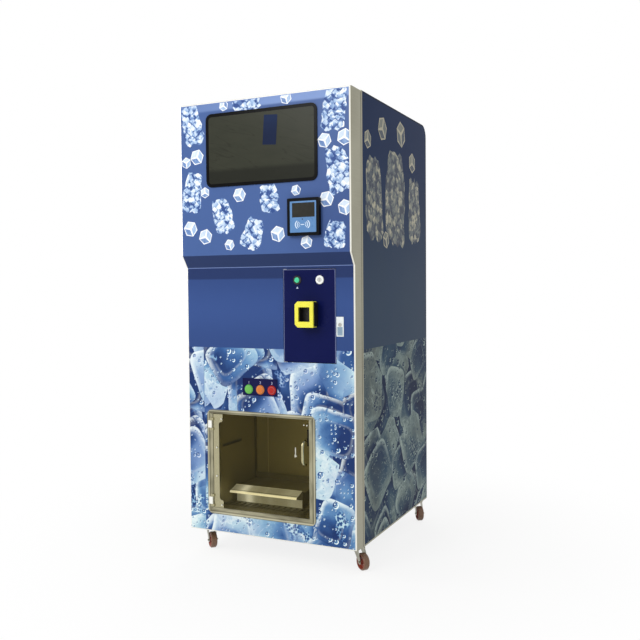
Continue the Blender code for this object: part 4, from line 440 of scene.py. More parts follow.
def ice_print(look, p, tones, stray):
    """Jumble of large wet ice blocks, from deep shade to white, with a stray tint."""
    warp = look.noise(p, 4.0, 2.0) - 0.5
    p = p + look.merge(warp * 0.045, warp * -0.035, 0.0)
    cloud = look.noise(p + (3.1, 1.7, 0.0), 3.4, 3.0, 0.55, 0.5)
    fine = look.noise(p, 28.0, 4.0, 0.62, 1.4)
    tone = cloud * 1.1 - 0.22
    gleam = 0.0
    for number, (scale, half, keep) in enumerate(BLOCKS):
        cover, shadow, sheen, window, edge = ice_block(look, p, scale, half, number + 1.0, keep)
        tone = tone - shadow * 0.24
        body = sheen + (cloud - 0.5) * 1.1 + (fine - 0.5) * 0.14 - window * 0.26
        body = body.smaller(0.84 + (fine - 0.5) * 0.5 + (cloud - 0.5) * 0.3)
        tone = blend(tone, body, cover * 0.94)
        gleam = blend(gleam, edge * fine.over(0.40, 0.10), cover)
    frost = look.noise(p + (0.7, 2.3, 0.0), 5.2, 3.0, 0.6).over(0.63, 0.04)
    specks = look.cells(p, 88.0)[0].over(0.46, 0.16)
    tone = blend(tone, specks * 0.9 + 0.08, frost * 0.75)
    crack = abs(look.noise(p, 7.5, 3.0, 0.5, 2.2) - 0.5).under(0.010, 0.010) * cloud.over(0.45, 0.1)
    gleam = gleam.larger(crack * tone.over(0.5, 0.15) * 0.5)
    for number, (scale, reach, keep) in enumerate(DROPS):
        cover, drop = droplets(look, p, scale, reach, number + 1.0, keep)
        tone = blend(tone, drop, cover * 0.9)
        gleam = gleam * (1 - cover)
    colour = look.node("ValToRGB", {0: tone}, stops=tones)
    tinge = look.noise(p + (5.0, 0.0, 0.0), 2.6, 2.0).over(0.54, 0.10) * 0.4
    colour = look.mix(tinge * tone.over(0.25, 0.2), colour, stray)
    return look.mix(gleam * 0.85, colour, tones[-1][1])


# Sheets

# Where a film's tone changes: a place along U, V or H, and half the width of its soft step.
FASCIA_DIM_U, FASCIA_DIM_H = (0.66, 0.22), (1.62, 0.3)
BAND_LOW, BAND_LIGHT = (1.921, 0.006), (0.30, 0.28)     # the fascia's pale top band
SLOPE_LINE, SEAM_LINE = (0.0018, 0.0008), (0.0009, 0.0005)
# The lower face is darker in two steps under the fascia, as painted shade cast by it, and darker at its
# foot.
FACE_TOP, FACE_SHADOW = (SLOPE_LOW - 0.002, 0.001), (SLOPE_LOW - 0.052, 0.004)
FACE_SHADE_TOP, FACE_DIM_FOOT = (1.13, 0.10), (0.95, 0.08)
FILM_LEFT, FILM_RIGHT = (0.0060, 0.0006), (WIDTH - 0.0075, 0.0006)
# The first depth ends the film; the second is how far the painted highlight on the steel bent round the
# door's edges reaches.
SKIN, BEND_HIGHLIGHT = (0.0008, 0.0002), (0.0036, 0.0024)     # depths behind the door's outer skin
SIDE_FADE, SIDE_REAR, SIDE_TOP = (1.42, 0.40), (DEPTH - 0.012, 0.002), (HEIGHT - 0.008, 0.002)
SIDE_FRONT, SIDE_FOOT = (0.0885, 0.0006), (0.007, 0.0006)
SIDE_SKIN = (WIDTH / 2 - 0.0008, 0.0003)        # from the middle to the side panels' outer skin
SIDE_SCREW, SIDE_SCREW_RIM = (0.108, 1.928), (0.0042, 0.0006)
STRIP_SHIFT = (0.37, 0.21)          # of the print on the narrow strip of film
SIDE_STRETCH, SIDE_SHIFT = (0.86, 0.92, 1.0), (0.9, 0.35, 0.0)      # of the side panels' print
PANE_FOOT = (1.655, 0.012)          # of the screen's glass, below which it is darker


def sheet_coordinates(look):
    """Cabinet places of a point, and the flat place of the print that runs round the corner."""
    x, y, z = look.split(look.place())
    u, v, h = x - LEFT_X, y - FACE_Y, z - BASE_Z
    return u, v, h, look.merge(u + v, h, 0.0)


def bare_steel(look):
    """Colour of the brushed sheet where no film covers it, and its fine lines."""
    lines = look.noise(look.place() * (9.0, 9.0, 700.0), 1.0, 3.0, 0.6)
    cloud = look.noise(look.place(), 3.0, 3.0)
    steel = look.layers(tint(150, 147, 128), (lines.over(0.5, 0.3) * 0.5, tint(128, 125, 108)),
                        (cloud.over(0.5, 0.25) * 0.35, tint(180, 178, 160)))
    return steel, lines


def door_film(sheet):
    """Printed film on the door's front over bare stainless sides, with painted shade cast by the fascia and
    a painted highlight along the steel bent round the door's edges.
    """
    look = Look("door_film")
    u, v, h, flat = sheet_coordinates(look)
    cloud = look.noise(look.place(), 2.6, 3.0)
    face = look.layers(
        tuple(sheet.face_colour),
        # painted shade cast by the fascia, in two steps below the slope
        (h.over(*FACE_SHADE_TOP) * 0.6, tint(40, 62, 114)),
        (h.over(*FACE_SHADOW) * 0.8, tint(30, 46, 90)),
        (h.under(*FACE_DIM_FOOT) * 0.6, tint(44, 68, 122)))
    strip = u.under(FILM_SEAM, 0.0003)
    shift = look.merge(strip * STRIP_SHIFT[0], strip * STRIP_SHIFT[1], 0.0)
    ice = ice_print(look, flat + shift, ICE_TONES, LAVENDER)
    ice = look.mix(abs(u - FILM_SEAM).under(*SEAM_LINE) * 0.6, ice, tint(60, 84, 140))
    film = look.layers(
        tuple(sheet.fascia_colour),
        ((cloud - 0.3) * 0.5, tint(74, 101, 158)),
        (u.over(*FASCIA_DIM_U) * h.under(*FASCIA_DIM_H) * 0.75, tint(56, 78, 132)),
        (h.over(*BAND_LOW) * (u.over(*BAND_LIGHT) * 0.45 + 0.45), tuple(sheet.fascia_top_colour)),
        (h.under(SLOPE_TOP, 0.001), tuple(sheet.slope_colour)),
        (abs(h - SLOPE_LOW).under(*SLOPE_LINE), tint(110, 130, 180)),
        (h.under(*FACE_TOP), face),
        (h.under(sheet.print_height, 0.0008), ice))
    lean = ((h - SLOPE_LOW) / (SLOPE_TOP - SLOPE_LOW)).larger(0.0).smaller(1.0)
    behind = v + lean * FASCIA_PROUD      # depth behind the door's outer skin
    front = behind.under(*SKIN) * u.over(*FILM_LEFT) * u.under(*FILM_RIGHT)
    steel, lines = bare_steel(look)
    # painted highlight where the bare steel bends round the door's edges
    steel = look.mix(behind.under(*BEND_HIGHLIGHT), steel, tint(246, 244, 234))
    look.set(base_color=look.mix(front, steel, film), metallic=(1 - front) * 0.85,
             roughness=0.40 - front * 0.10, specular_ior_level=0.16)
    wave = look.noise(look.place(), 2.2, 2.0)
    return look.bump(wave + lines * (1 - front) * 0.02, 0.05, 0.004)


def side_film(sheet):
    """Film on the side panels: dark blue above, ice print below, bare at the front and bottom edges."""
    look = Look("side_film")
    u, v, h, flat = sheet_coordinates(look)
    cloud = look.noise(look.place(), 3.2, 3.0)
    rim = v.over(*SIDE_REAR).larger(h.over(*SIDE_TOP))
    screw = look.length(look.merge(v - SIDE_SCREW[0], h - SIDE_SCREW[1], 0.0))
    lower = ice_print(look, flat * SIDE_STRETCH + SIDE_SHIFT, SIDE_TONES, UMBER)
    film = look.layers(
        tuple(sheet.side_colour),
        (h.under(*SIDE_FADE), tint(56, 73, 94)),
        ((cloud - 0.35) * 0.5, tint(34, 58, 96)),
        (rim * 0.7, tint(18, 24, 44)),
        (screw.under(*SIDE_SCREW_RIM), tint(12, 14, 20)),
        (h.under(sheet.print_height, 0.001), lower))
    outer = abs(u - WIDTH / 2).over(*SIDE_SKIN)
    covered = outer * v.over(*SIDE_FRONT) * h.over(*SIDE_FOOT)
    steel, _ = bare_steel(look)
    look.set(base_color=look.mix(covered, steel, film), metallic=(1 - covered) * 0.9,
             roughness=0.42 - covered * 0.08, specular_ior_level=0.02)
    wave = look.noise(look.place(), 1.8, 2.0)
    return look.bump(wave, 0.06, 0.006)


def printed_ice(name, tones, metres=1.0):
    """Ink of the scattered pictures: facets take their tone from the mesh, broken up by crushed ice."""
    look = Look(name)
    x, y, z = look.split(look.place())
    flat = look.merge(x + y, z, 0.0)
    own = look.node("Attribute", attribute_name="tone", output="Fac")
    scale = 46.0 / metres
    bent = flat + look.node("TexNoise", {"Vector": flat, "Scale": scale}, output="Color") * (0.5 / scale)
    distance, colour, centre = look.cells(bent, scale, metric="MANHATTAN")
    red, green, blue = look.split(colour)
    ax, ay, _ = look.split((bent - centre) * scale)
    grain = red * 0.50 + 0.48 + (ax * (green - 0.5) + ay * (blue - 0.3)) * 0.9
    patches = look.noise(flat, 0.6 * scale, 3.0, 0.6)
    gaps = distance.over(0.66, 0.06) * patches.over(0.42, 0.05)
    grain = grain - patches.over(0.54, 0.04) * 0.42 - gaps * 0.5
    streak = look.noise(flat * (1.0, 0.4, 1.0), 60.0 / metres, 3.0, 0.6)
    rough_share = own.under(0.02, 0.01)
    tone = blend(own + (streak - 0.5) * 0.5, grain, rough_share)
    look.set(base_color=look.node("ValToRGB", {0: tone}, stops=tones), roughness=0.32,
             specular_ior_level=0.12)
    return look


def dark_pane():
    """Dark display glass over an unlit panel, faintly smeared, with thin dark diagonal lines painted as
    reflections.
    """
    look = Look("display_glass")
    x, _, z = look.split(look.place())
    smear = look.noise(look.place() * (1.0, 1.0, 3.0), 6.0, 4.0, 0.6)
    reflection_lines = look.noise(look.merge(x * 2.0 + z * 5.5, x * 0.6 - z * 0.2, 0.0), 4.0, 2.0, 0.4)
    base = look.layers(
        tint(47, 49, 41),
        (smear, tint(59, 60, 49)),
        ((z - BASE_Z).under(*PANE_FOOT) * 0.75, tint(30, 31, 26)),
        # thin dark diagonal lines: painted reflection
        (abs(reflection_lines - 0.5).under(0.006, 0.006) * 0.35, tint(36, 35, 28)))
    return look.set(base_color=base, roughness=0.16 + smear * 0.08, specular_ior_level=0.1)


def smoked_acrylic():
    """Tinted acrylic that shows the cabin behind it."""
    look = Look("smoked_acrylic")
    smear = look.noise(look.place(), 9.0, 4.0, 0.6)
    clear = look.node("BsdfTransparent", {"Color": (0.86, 0.83, 0.70, 1.0)})
    look.set(base_color=tint(96, 90, 62), roughness=0.08 + smear * 0.06, specular_ior_level=0.4)
    return look.surface(smear * 0.05 + 0.06, clear, Wire(look, look.shader.outputs[0]))


# Painted and stainless pieces

# Widths of the painted highlight along the payment door's bent edges, at its sides and at its top and foot.
PAYMENT_HIGHLIGHT, PAYMENT_HIGHLIGHT_TOP = 0.0026, 0.0022       # bright edge of the payment door
RING_LIT, RING_EDGE = (0.0185, 0.002), (0.0211, 0.0003)     # radii of a choice button's coloured rim
HINGE_BLOCK = (-0.0045, 0.0003)     # V in front of which the pickup frame is its hinge blocks
CORNER_X, CORNER_Y = (0.010, 0.004), (0.012, 0.004)     # reach of the shade in the cabin's rear corner
CABIN_SEAM = 0.075          # from the pickup cabin's left wall to the seam of its rear wall
SEAM_WIDTH, REAR_WALL = (0.0016, 0.0012), (0.006, 0.001)
LIP_DEPTH = 0.061           # of the bag tray's sloped lip
LIP_FOLD = 0.0125           # from the lip's front edge to the dark line behind its fold
# Widths of the painted highlight on the lip's front edge, the painted shade line beside the fold and the
# painted highlight at the lip's rear.
LIP_EDGE, FOLD_LINE, LIP_REAR = (0.006, 0.002), (0.002, 0.0015), (0.0015, 0.001)
BEAM_DEPTH = 0.011          # the front beam's face and fold behind the lip
BEAM_HEIGHT = 0.050         # from the bottom of the tray's front beam to under its plate
# The gleam and its streaks are painted highlights.
GLEAM_SHARE, GLEAM_WIDTH = 0.19, (0.024, 0.026)     # of the tray's width, from its left to the gleam
# Painted highlight and shade lines of the pickup frame's rounded profile.
FRAME_SHEEN_LINES = (     # in from the pickup frame's outer edge: place, half width, softness, share, colour
    (0.013, 0.0015, 0.003, 0.8, tint(78, 74, 58)),
    (0.0055, 0.0012, 0.0014, 0.7, tint(226, 222, 196)),
    (0.0, 0.0026, 0.0014, 0.6, tint(118, 114, 92)))


def payment_paint(colour):
    """Dark paint of the payment door, with a painted highlight along its bent edges."""
    look = painted("payment_navy", colour, 0.26)
    x, _, z = look.split(look.place())
    low, high = corners("payment_panel")
    middle, half = (low + high) / 2, (high - low) / 2
    border = abs(x - middle.x).over(half.x - PAYMENT_HIGHLIGHT, 0.0004)
    border = border.larger((z - middle.z).over(half.z - PAYMENT_HIGHLIGHT_TOP, 0.0004))
    # painted highlight along the bent edges
    return look.set(base_color=look.mix(border, look.paint(), tint(118, 126, 166)))


def choice_paint(colour, rings):
    """Dark paint of the choice plate, with a coloured rim round each button."""
    look = painted("choice_navy", colour, 0.26)
    p = look.place()
    paint = look.paint()
    for centre, ring in rings:
        radius = look.length((p - tuple(centre)) * (1.0, 0.0, 1.0))
        lit = look.mix(radius.over(*RING_LIT) * 0.5, ring, shade(ring, 0.6))
        paint = look.mix(radius.under(*RING_EDGE), paint, lit)
    return look.set(base_color=paint)


def pickup_steel():
    """Stainless of the pickup frame, brushed along each member, with painted reflection bands, painted
    highlight and shade lines along its rounded profile, and bright castings as hinge blocks.
    """
    look = Look("pickup_stainless")
    place = look.place()
    x, y, z = look.split(place)
    low, high = corners("pickup_frame")
    middle, half = (low + high) / 2, (high - low) / 2
    inward_x, inward_z = half.x - abs(x - middle.x), half.z - abs(z - middle.z)
    upright = (inward_z - inward_x).over(0.0, 0.0006)
    inward = inward_x.smaller(inward_z)
    along = blend(look.noise(place * (4.0, 4.0, 900.0), 1.0, 3.0, 0.6),
                  look.noise(place * (900.0, 900.0, 4.0), 1.0, 3.0, 0.6), upright)
    cloud = blend(look.noise(place * (7.0, 1.0, 30.0), 1.0, 2.0),
                  look.noise(place * (30.0, 1.0, 7.0), 1.0, 2.0), upright)
    steel = look.layers(
        tint(100, 97, 78),
        # painted reflection: light and dark bands along each member
        (cloud.over(0.5, 0.14), tint(168, 163, 136)),
        (along.over(0.52, 0.2) * 0.4, tint(190, 185, 156)),
        # painted shade and highlight lines of the frame's rounded profile
        *((abs(inward - line).under(half_width, soft) * share, tone)
          for line, half_width, soft, share, tone in FRAME_SHEEN_LINES),
        ((y - FACE_Y).under(*HINGE_BLOCK), tint(246, 246, 240)))
    look.set(base_color=steel, metallic=0.7, roughness=0.30 + (along - 0.5) * 0.1)
    return look.bump(along, 0.05, 0.0002)


def cabin_steel():
    """Dull stainless of the pickup cabin: painted shade in its rear corner, with a pale seam beside it."""
    look = brushed("cabin_stainless", tint(168, 160, 120), "Z", 0.40, 0.45)
    x, y, _ = look.split(look.place())
    low, high = corners("pickup_cabin")
    # painted shade in the rear corner
    corner = (x - low.x).under(*CORNER_X) * (high.y - y).under(*CORNER_Y)
    seam = abs(x - low.x - CABIN_SEAM).under(*SEAM_WIDTH) * (high.y - y).under(*REAR_WALL)
    return look.set(base_color=look.layers(
        look.paint(), (corner * 0.75, tint(40, 36, 26)), (seam * 0.8, tint(236, 226, 184))))


def tray_steel():
    """Polished stainless of the bag tray: its sloped lip and front beam catch painted light, as highlights,
    a gleam and a glow, with painted shade behind the lip and beside its fold.
    """
    look = Look("tray_stainless")
    place = look.place()
    x, y, z = look.split(place)
    low, high = corners("bag_tray")
    depth = y - low.y
    # painted gleam, with painted highlight streaks
    gleam = abs(x - low.x - GLEAM_SHARE * (high.x - low.x)).under(*GLEAM_WIDTH)
    streak = look.noise(place * (11.0, 0.6, 0.6), 1.0, 2.0).over(0.50, 0.12)
    plate = z.over(low.z + BEAM_HEIGHT, 0.001)
    # painted shade behind the lip and over the front beam
    behind = depth.over(LIP_DEPTH + (1 - plate) * BEAM_DEPTH, 0.0015)
    # painted highlights on the lip's front edge and along its rear
    fold = depth.under(*LIP_EDGE).larger(abs(depth - LIP_DEPTH).under(*LIP_REAR) * plate * 0.7)
    steel = look.layers(
        tint(184, 183, 168),
        (gleam.larger(streak * 0.45), tint(250, 251, 248)),
        (behind * 0.9, tint(96, 90, 62)),
        # painted shade line beside the lip's fold
        (abs(depth - LIP_FOLD).under(*FOLD_LINE) * plate * 0.75, tint(66, 60, 42)),
        (fold, tint(255, 252, 232)))
    # painted glow in the steel's own colour, in place of room light reaching the tray: strongest on the
    # lip's edges and the gleam, none behind the lip
    unlit = 0.70 - fold * 0.48 - gleam * 0.30
    bright = look.layers(steel, (unlit, BLACK), (behind, BLACK))
    look.set(base_color=steel, metallic=0.15, roughness=0.34, emission=bright, emission_strength=1.0)
    return look.bump(look.noise(place * (14.0, 14.0, 1400.0), 1.0, 2.0), 0.05, 0.0002)


def rubber(name, colour, rough=0.7):
    look = Look(name)
    p = look.place()
    fine = look.noise(p, 700.0, 3.0, 0.7)
    dust = look.noise(p, 30.0, 4.0, 0.6)
    pale = shade(colour, 0.6, 0.10)
    look.set(base_color=look.mix(dust.over(0.55, 0.15) * 0.5, colour, pale),
             roughness=rough + (dust - 0.5) * 0.2)
    return look.bump(fine, 0.25, 0.0004)


def wheel_rubber(name):
    """Red-brown wheel: dark on its tread, paler on its sides, with a metal hub."""
    low, high = corners(name)
    radius = (high.z - low.z) / 2
    look = rubber(name + "_rubber", tint(150, 66, 48), 0.38)
    away = look.length(look.place() - tuple((low + high) / 2))
    return look.set(base_color=look.layers(
        look.paint(),
        (away.over(radius * 0.94, radius * 0.05), tint(120, 88, 66)),
        (away.under(radius * 0.34, radius * 0.04), tint(150, 146, 132))))


class ICE_OT_sheets(bpy.types.Operator):
    """Give the door and the cabinet's sheets their film, print and bare metal"""
    bl_idname = "ice_machine.sheets"
    bl_label = "Dress Sheets"

    def execute(self, context):
        sheet = context.scene.ice_sheets
        door_film(sheet).put("door_shell")
        side_film(sheet).put("left_side_panel", "right_side_panel")
        brushed("top_steel", tint(176, 172, 160), "X").put("top_cover")
        brushed("rear_steel", tint(168, 168, 162), "X", 0.42).put("rear_panel")
        return {"FINISHED"}


class ICE_OT_metalwork(bpy.types.Operator):
    """Give the stainless, plated and galvanised pieces their finishes"""
    bl_idname = "ice_machine.metalwork"
    bl_label = "Dress Metalwork"

    def execute(self, context):
        pickup_steel().put("pickup_frame")
        brushed("strip_stainless", tint(176, 170, 138), "X", 0.26).put("pickup_strip")
        cabin_steel().put("pickup_cabin")
        brushed("grille_stainless", tint(108, 106, 88), "Y", 0.4, 0.45).put("floor_grille")
        tray_steel().put("bag_tray")
        brushed("auger_stainless", tint(190, 190, 188), "Y", 0.25).put("auger", "ice_chute", "chute_flap")
        galvanised("rack_zinc", tint(168, 172, 176)).put("rack_frame", "base_frame")
        galvanised("casing_zinc", tint(158, 162, 166)).put("ice_maker_housing", "fan_shroud", "control_box")
        plated("bracket_zinc", tint(176, 178, 180), 0.34).put(
            "upper_pivot_bracket", "lower_pivot_bracket", "payment_surround")
        plated("lock_satin", tint(188, 188, 182), 0.30, 0.3).put("lock_bolt", "key_barrel")
        painted("lock_white", tint(222, 230, 232), 0.3).put("lock_body")
        painted("lever_grey", tint(142, 164, 182), 0.3).put("lock_lever")
        plated("lock_chrome", tint(206, 206, 202), 0.2, 0.15).put("payment_lock")
        plated("handle_steel", tint(186, 178, 140), 0.22, 0.3).put("pull_handle")
        painted("lock_ring", tint(238, 240, 236), 0.2).put("lock_collar")
        plated("exchanger_metal", tint(190, 192, 192), 0.42).put("condenser", "evaporator")
        forks = [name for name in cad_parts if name.endswith("_fork")]
        plated("caster_zinc", tint(168, 166, 152), 0.32, 0.6).put(*forks)
        return {"FINISHED"}


class ICE_OT_plastics(bpy.types.Operator):
    """Give the moulded, painted and rubber pieces their finishes"""
    bl_idname = "ice_machine.plastics"
    bl_label = "Dress Plastics and Paint"

    def execute(self, context):
        payment_paint(tint(8, 16, 68)).put("payment_panel")
        rings = zip(choice_places(), (tint(104, 190, 84), tint(214, 130, 54), tint(190, 48, 34)))
        choice_paint(tint(20, 22, 66), rings).put("button_plate")
        painted("machine_black", tint(26, 26, 28), 0.4).put("compressor", "auger_motor", "display_module")
        painted("bezel_black", tint(5, 5, 6), 0.22).put("screen_bezel")
        painted("reader_black", tint(6, 7, 9), 0.30).put("reader_housing")
        moulded("acceptor_black", tint(16, 16, 18), 0.40).put("bill_acceptor")
        moulded("collar_black", tint(14, 15, 18), 0.25, 500.0, 0.04).put("start_collar")
        moulded("bill_yellow", tint(232, 224, 66), 0.30, 600.0, 0.06).put("bill_bezel")
        moulded("bin_white", tint(222, 224, 224), 0.38).put("ice_bin")
        moulded("fan_black", tint(20, 20, 22), 0.45).put("condenser_fan")
        moulded("reader_blue", tint(78, 126, 178), 0.30, 500.0, 0.03).put("reader_face")
        colours = {"start_button": (70, 204, 150), "green_button": (100, 178, 74),
                   "orange_button": (206, 112, 38), "red_button": (170, 16, 8)}
        for name, colour in colours.items():
            low, high = corners(name)
            lens(name + "_lens", tint(*colour), (low + high) / 2).put(name)
        rubber("gasket_black", tint(24, 24, 25)).put("door_gasket")
        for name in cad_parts:
            if name.endswith("_wheel"):
                wheel_rubber(name).put(name)
        dark_pane().put("screen_glass")
        smoked_acrylic().put("pickup_panel")
        return {"FINISHED"}


# Small pieces

FRONT = Matrix(((1, 0, 0), (0, 0, -1), (0, 1, 0))).to_4x4()     # a shape's X, Y and Z on each side
RIGHT = Matrix(((0, 0, 1), (1, 0, 0), (0, 1, 0))).to_4x4()
LEFT = Matrix(((0, 0, -1), (-1, 0, 0), (0, 1, 0))).to_4x4()
BACK = Matrix(((-1, 0, 0), (0, 0, 1), (0, 1, 0))).to_4x4()
INK = 0.00012               # thickness of a printed shape
LABEL = 0.0003              # thickness of a mark or label
CHOICE_PROUD = 0.0023       # the choice plate's sheet in front of the lower face
STRIP_PROUD = 0.0063        # the hinge strip's front, likewise


def spot(side, point, degrees=0.0, size=(1.0, 1.0, 1.0)):
    """Matrix that sets a flat shape against a side of the machine."""
    turn = Matrix.Rotation(math.radians(degrees), 4, "Z")
    return Matrix.Translation(point) @ side @ turn @ Matrix.Diagonal((*size, 1.0))


def add_object(name, data):
    item = bpy.data.objects.new(name, data)
    bpy.context.scene.collection.objects.link(item)
    return item


class Group:
    """Mesh that gathers shapes, each in its place, into one piece."""

    def __init__(self):
        self.bm = bmesh.new()
        self.bm.loops.layers.float_color.new("tone")

    def add(self, shape, matrix, material=0):
        for face in shape.faces:
            face.material_index = material
        mesh = bpy.data.meshes.new("shape")
        bmesh.ops.transform(shape, matrix=matrix, verts=shape.verts)
        shape.to_mesh(mesh)
        shape.free()
        self.bm.from_mesh(mesh)
        bpy.data.meshes.remove(mesh)

    def trim(self, point, outward):
        """Cut off what lies beyond a plane and close the cut."""
        bm = self.bm
        bmesh.ops.bisect_plane(bm, geom=bm.verts[:] + bm.edges[:] + bm.faces[:], plane_co=point,
                               plane_no=outward, clear_outer=True)
        bmesh.ops.holes_fill(bm, edges=[edge for edge in bm.edges if edge.is_boundary])

    def finish(self, name, body, *looks):
        bmesh.ops.recalc_face_normals(self.bm, faces=self.bm.faces)
        mesh = bpy.data.meshes.new(name)
        self.bm.to_mesh(mesh)
        self.bm.free()
        for look in looks:
            mesh.materials.append(look.owner)
        piece = add_object(name, mesh)
        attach(piece, body)


def thicken(bm, depth):
    """Give a flat shape its thickness, from its own plane outwards."""
    bmesh.ops.solidify(bm, geom=bm.faces[:], thickness=depth)
    lowest = min(vert.co.z for vert in bm.verts)
    bmesh.ops.translate(bm, verts=bm.verts, vec=(0, 0, -lowest))
    return bm


def tone_faces(bm, faces, tone):
    layer = bm.loops.layers.float_color.get("tone") or bm.loops.layers.float_color.new("tone")
    for face in faces:
        for loop in face.loops:
            loop[layer] = (tone, tone, tone, 1.0)


def rounded(width, height, radius, depth, border=0.0):
    """Plate with round corners, or only its border."""
    bm = bmesh.new()
    bmesh.ops.create_grid(bm, x_segments=1, y_segments=1, size=0.5)
    bmesh.ops.scale(bm, vec=(width, height, 1.0), verts=bm.verts)
    bmesh.ops.bevel(bm, geom=bm.verts[:], offset=radius, segments=5, profile=0.5, affect="VERTICES",
                    material=-1)
    if border:
        middle = max(bm.faces, key=lambda face: face.calc_area())
        bmesh.ops.inset_region(bm, faces=[middle], thickness=border)
        bmesh.ops.delete(bm, geom=[middle], context="FACES_ONLY")
    return thicken(bm, depth)


def ring_part(radius, width, start, sweep, depth):
    """Flat part of a ring, from a start angle in degrees."""
    bm = bmesh.new()
    ends = [bm.verts.new((radius + side * width / 2, 0, 0)) for side in (-1, 1)]
    edge = bm.edges.new(ends)
    bmesh.ops.rotate(bm, verts=ends, cent=(0, 0, 0), matrix=Matrix.Rotation(math.radians(start), 3, "Z"))
    bmesh.ops.spin(bm, geom=[*ends, edge], cent=(0, 0, 0), axis=(0, 0, 1), angle=math.radians(sweep),
                   steps=12, use_duplicate=False)
    return thicken(bm, depth)


def polygon(sides, radius, depth):
    bm = bmesh.new()
    bmesh.ops.create_circle(bm, cap_ends=True, segments=sides, radius=radius)
    return thicken(bm, depth)


def screw_head(radius):
    """Low round head with a socket."""
    bm = bmesh.new()
    height = radius * 0.55
    bmesh.ops.create_cone(bm, cap_ends=True, segments=20, radius1=radius, radius2=radius * 0.78,
                          depth=height)
    bmesh.ops.translate(bm, verts=bm.verts, vec=(0, 0, height / 2))
    top = max(bm.faces, key=lambda face: face.calc_center_median().z)
    bmesh.ops.inset_region(bm, faces=[top], thickness=radius * 0.34)
    bmesh.ops.inset_region(bm, faces=[top], thickness=radius * 0.03, depth=-radius * 0.28)
    return bm


# Printed pictures

CUBE_TONES = (0.72, 0.54, 0.32)
HEAPS = (   # U, H, width, height, degrees
    (0.066, 1.868, 0.106, 0.190, 10), (0.352, 1.955, 0.140, 0.098, -4), (0.776, 1.878, 0.112, 0.196, -8),
    (0.064, 1.560, 0.100, 0.186, -9), (0.222, 1.452, 0.104, 0.168, 15), (0.376, 1.368, 0.098, 0.144, -18),
    (0.462, 1.518, 0.092, 0.128, 6), (0.790, 1.620, 0.112, 0.200, 11), (0.775, 1.350, 0.096, 0.122, -8))
CUBES = (   # U, H, half width, degrees
    (0.092, 1.722, 0.036, 10), (0.034, 1.700, 0.026, -25), (0.132, 1.362, 0.036, 15),
    (0.052, 1.400, 0.037, -8), (0.236, 1.938, 0.024, 20), (0.548, 1.940, 0.028, -15),
    (0.312, 1.540, 0.033, 5), (0.132, 1.560, 0.025, 30), (0.502, 1.362, 0.036, -18),
    (0.592, 1.545, 0.024, 12), (0.728, 1.745, 0.033, -12), (0.820, 1.752, 0.036, 22),
    (0.735, 1.500, 0.035, 8), (0.820, 1.462, 0.034, -20), (0.258, 1.322, 0.026, -10),
    (0.640, 1.322, 0.029, 18))
HEAP_TAPER = 0.13           # how much narrower than its middle a heap is at its top
HEX_TURN = 30               # degrees added to the turn of every cube's outline
PRINT_SIDE, PRINT_TOP = 0.0085, 0.0125      # from the door's edges to the pictures
SIDE_HEAPS = (  # V, H, width, height, degrees
    (0.225, 1.520, 0.210, 0.370, 3), (0.500, 1.545, 0.265, 0.450, -2), (0.775, 1.505, 0.180, 0.330, 4))
SIDE_CUBES = (  # V, H, half width, degrees
    (0.330, 1.845, 0.056, 12), (0.580, 1.860, 0.062, -20), (0.745, 1.745, 0.050, 30),
    (0.150, 1.770, 0.042, 24), (0.370, 1.345, 0.040, -16))
PICTURE_TONES = ((0.0, tint(56, 82, 142)), (0.28, tint(108, 138, 190)), (0.5, tint(162, 190, 226)),
                 (0.72, tint(214, 228, 244)), (1.0, tint(250, 252, 255)))
GREY_TONES = ((0.0, tint(24, 38, 62)), (0.3, tint(56, 68, 84)), (0.55, tint(92, 102, 104)),
              (0.78, tint(130, 132, 120)), (1.0, tint(184, 178, 154)))


def cube_picture(size):
    """Ice cube seen on a corner: three faces, each with a pale rim."""
    bm = bmesh.new()
    bmesh.ops.create_circle(bm, cap_ends=True, cap_tris=True, segments=6, radius=size)
    hub = max(bm.verts, key=lambda vert: len(vert.link_edges))
    spokes = sorted(hub.link_edges, key=lambda edge: math.atan2(edge.other_vert(hub).co.y,
                                                                edge.other_vert(hub).co.x))
    bmesh.ops.dissolve_edges(bm, edges=spokes[::2])
    sides = sorted(bm.faces, key=lambda face: -face.calc_center_median().y)
    rims = bmesh.ops.inset_individual(bm, faces=sides, thickness=size * 0.15)["faces"]
    for side, tone in zip(sides, CUBE_TONES):
        tone_faces(bm, [side], tone)
    tone_faces(bm, rims, 1.0)
    return thicken(bm, INK)


def heap_picture(width, height, chance):
    """Ragged heap of crushed ice."""
    bm = bmesh.new()
    bmesh.ops.create_circle(bm, cap_ends=True, segments=30, radius=1.0)
    for vert in bm.verts:
        x, y = vert.co.xy
        square = (abs(x) ** 6 + abs(y) ** 6) ** (-1 / 6) * chance.uniform(0.86, 1.04)
        vert.co = (x * square * width / 2 * (1 - HEAP_TAPER * y), y * square * height / 2, 0)
    tone_faces(bm, bm.faces, 0.0)
    return thicken(bm, INK)


def pictures(side, place, heaps, cubes, seed):
    """Heaps of crushed ice on a side of the machine, and cubes printed over them."""
    chance = random.Random(seed)
    group = Group()
    for across, h, width, height, degrees in heaps:
        group.add(heap_picture(width, height, chance), spot(side, place(across, h, 0), degrees))
    for across, h, size, degrees in cubes:
        group.add(cube_picture(size), spot(side, place(across, h, INK), degrees + HEX_TURN))
    return group


def fascia_print():
    group = pictures(FRONT, lambda u, h, lift: at(u, -FASCIA_PROUD - lift, h), HEAPS, CUBES, 7)
    group.trim(at(PRINT_SIDE, 0, 0), (-1, 0, 0))
    group.trim(at(WIDTH - PRINT_SIDE, 0, 0), (1, 0, 0))
    group.trim(at(0, 0, HEIGHT - PRINT_TOP), (0, 0, 1))
    group.finish("fascia_print", "door", printed_ice("fascia_ink", PICTURE_TONES))


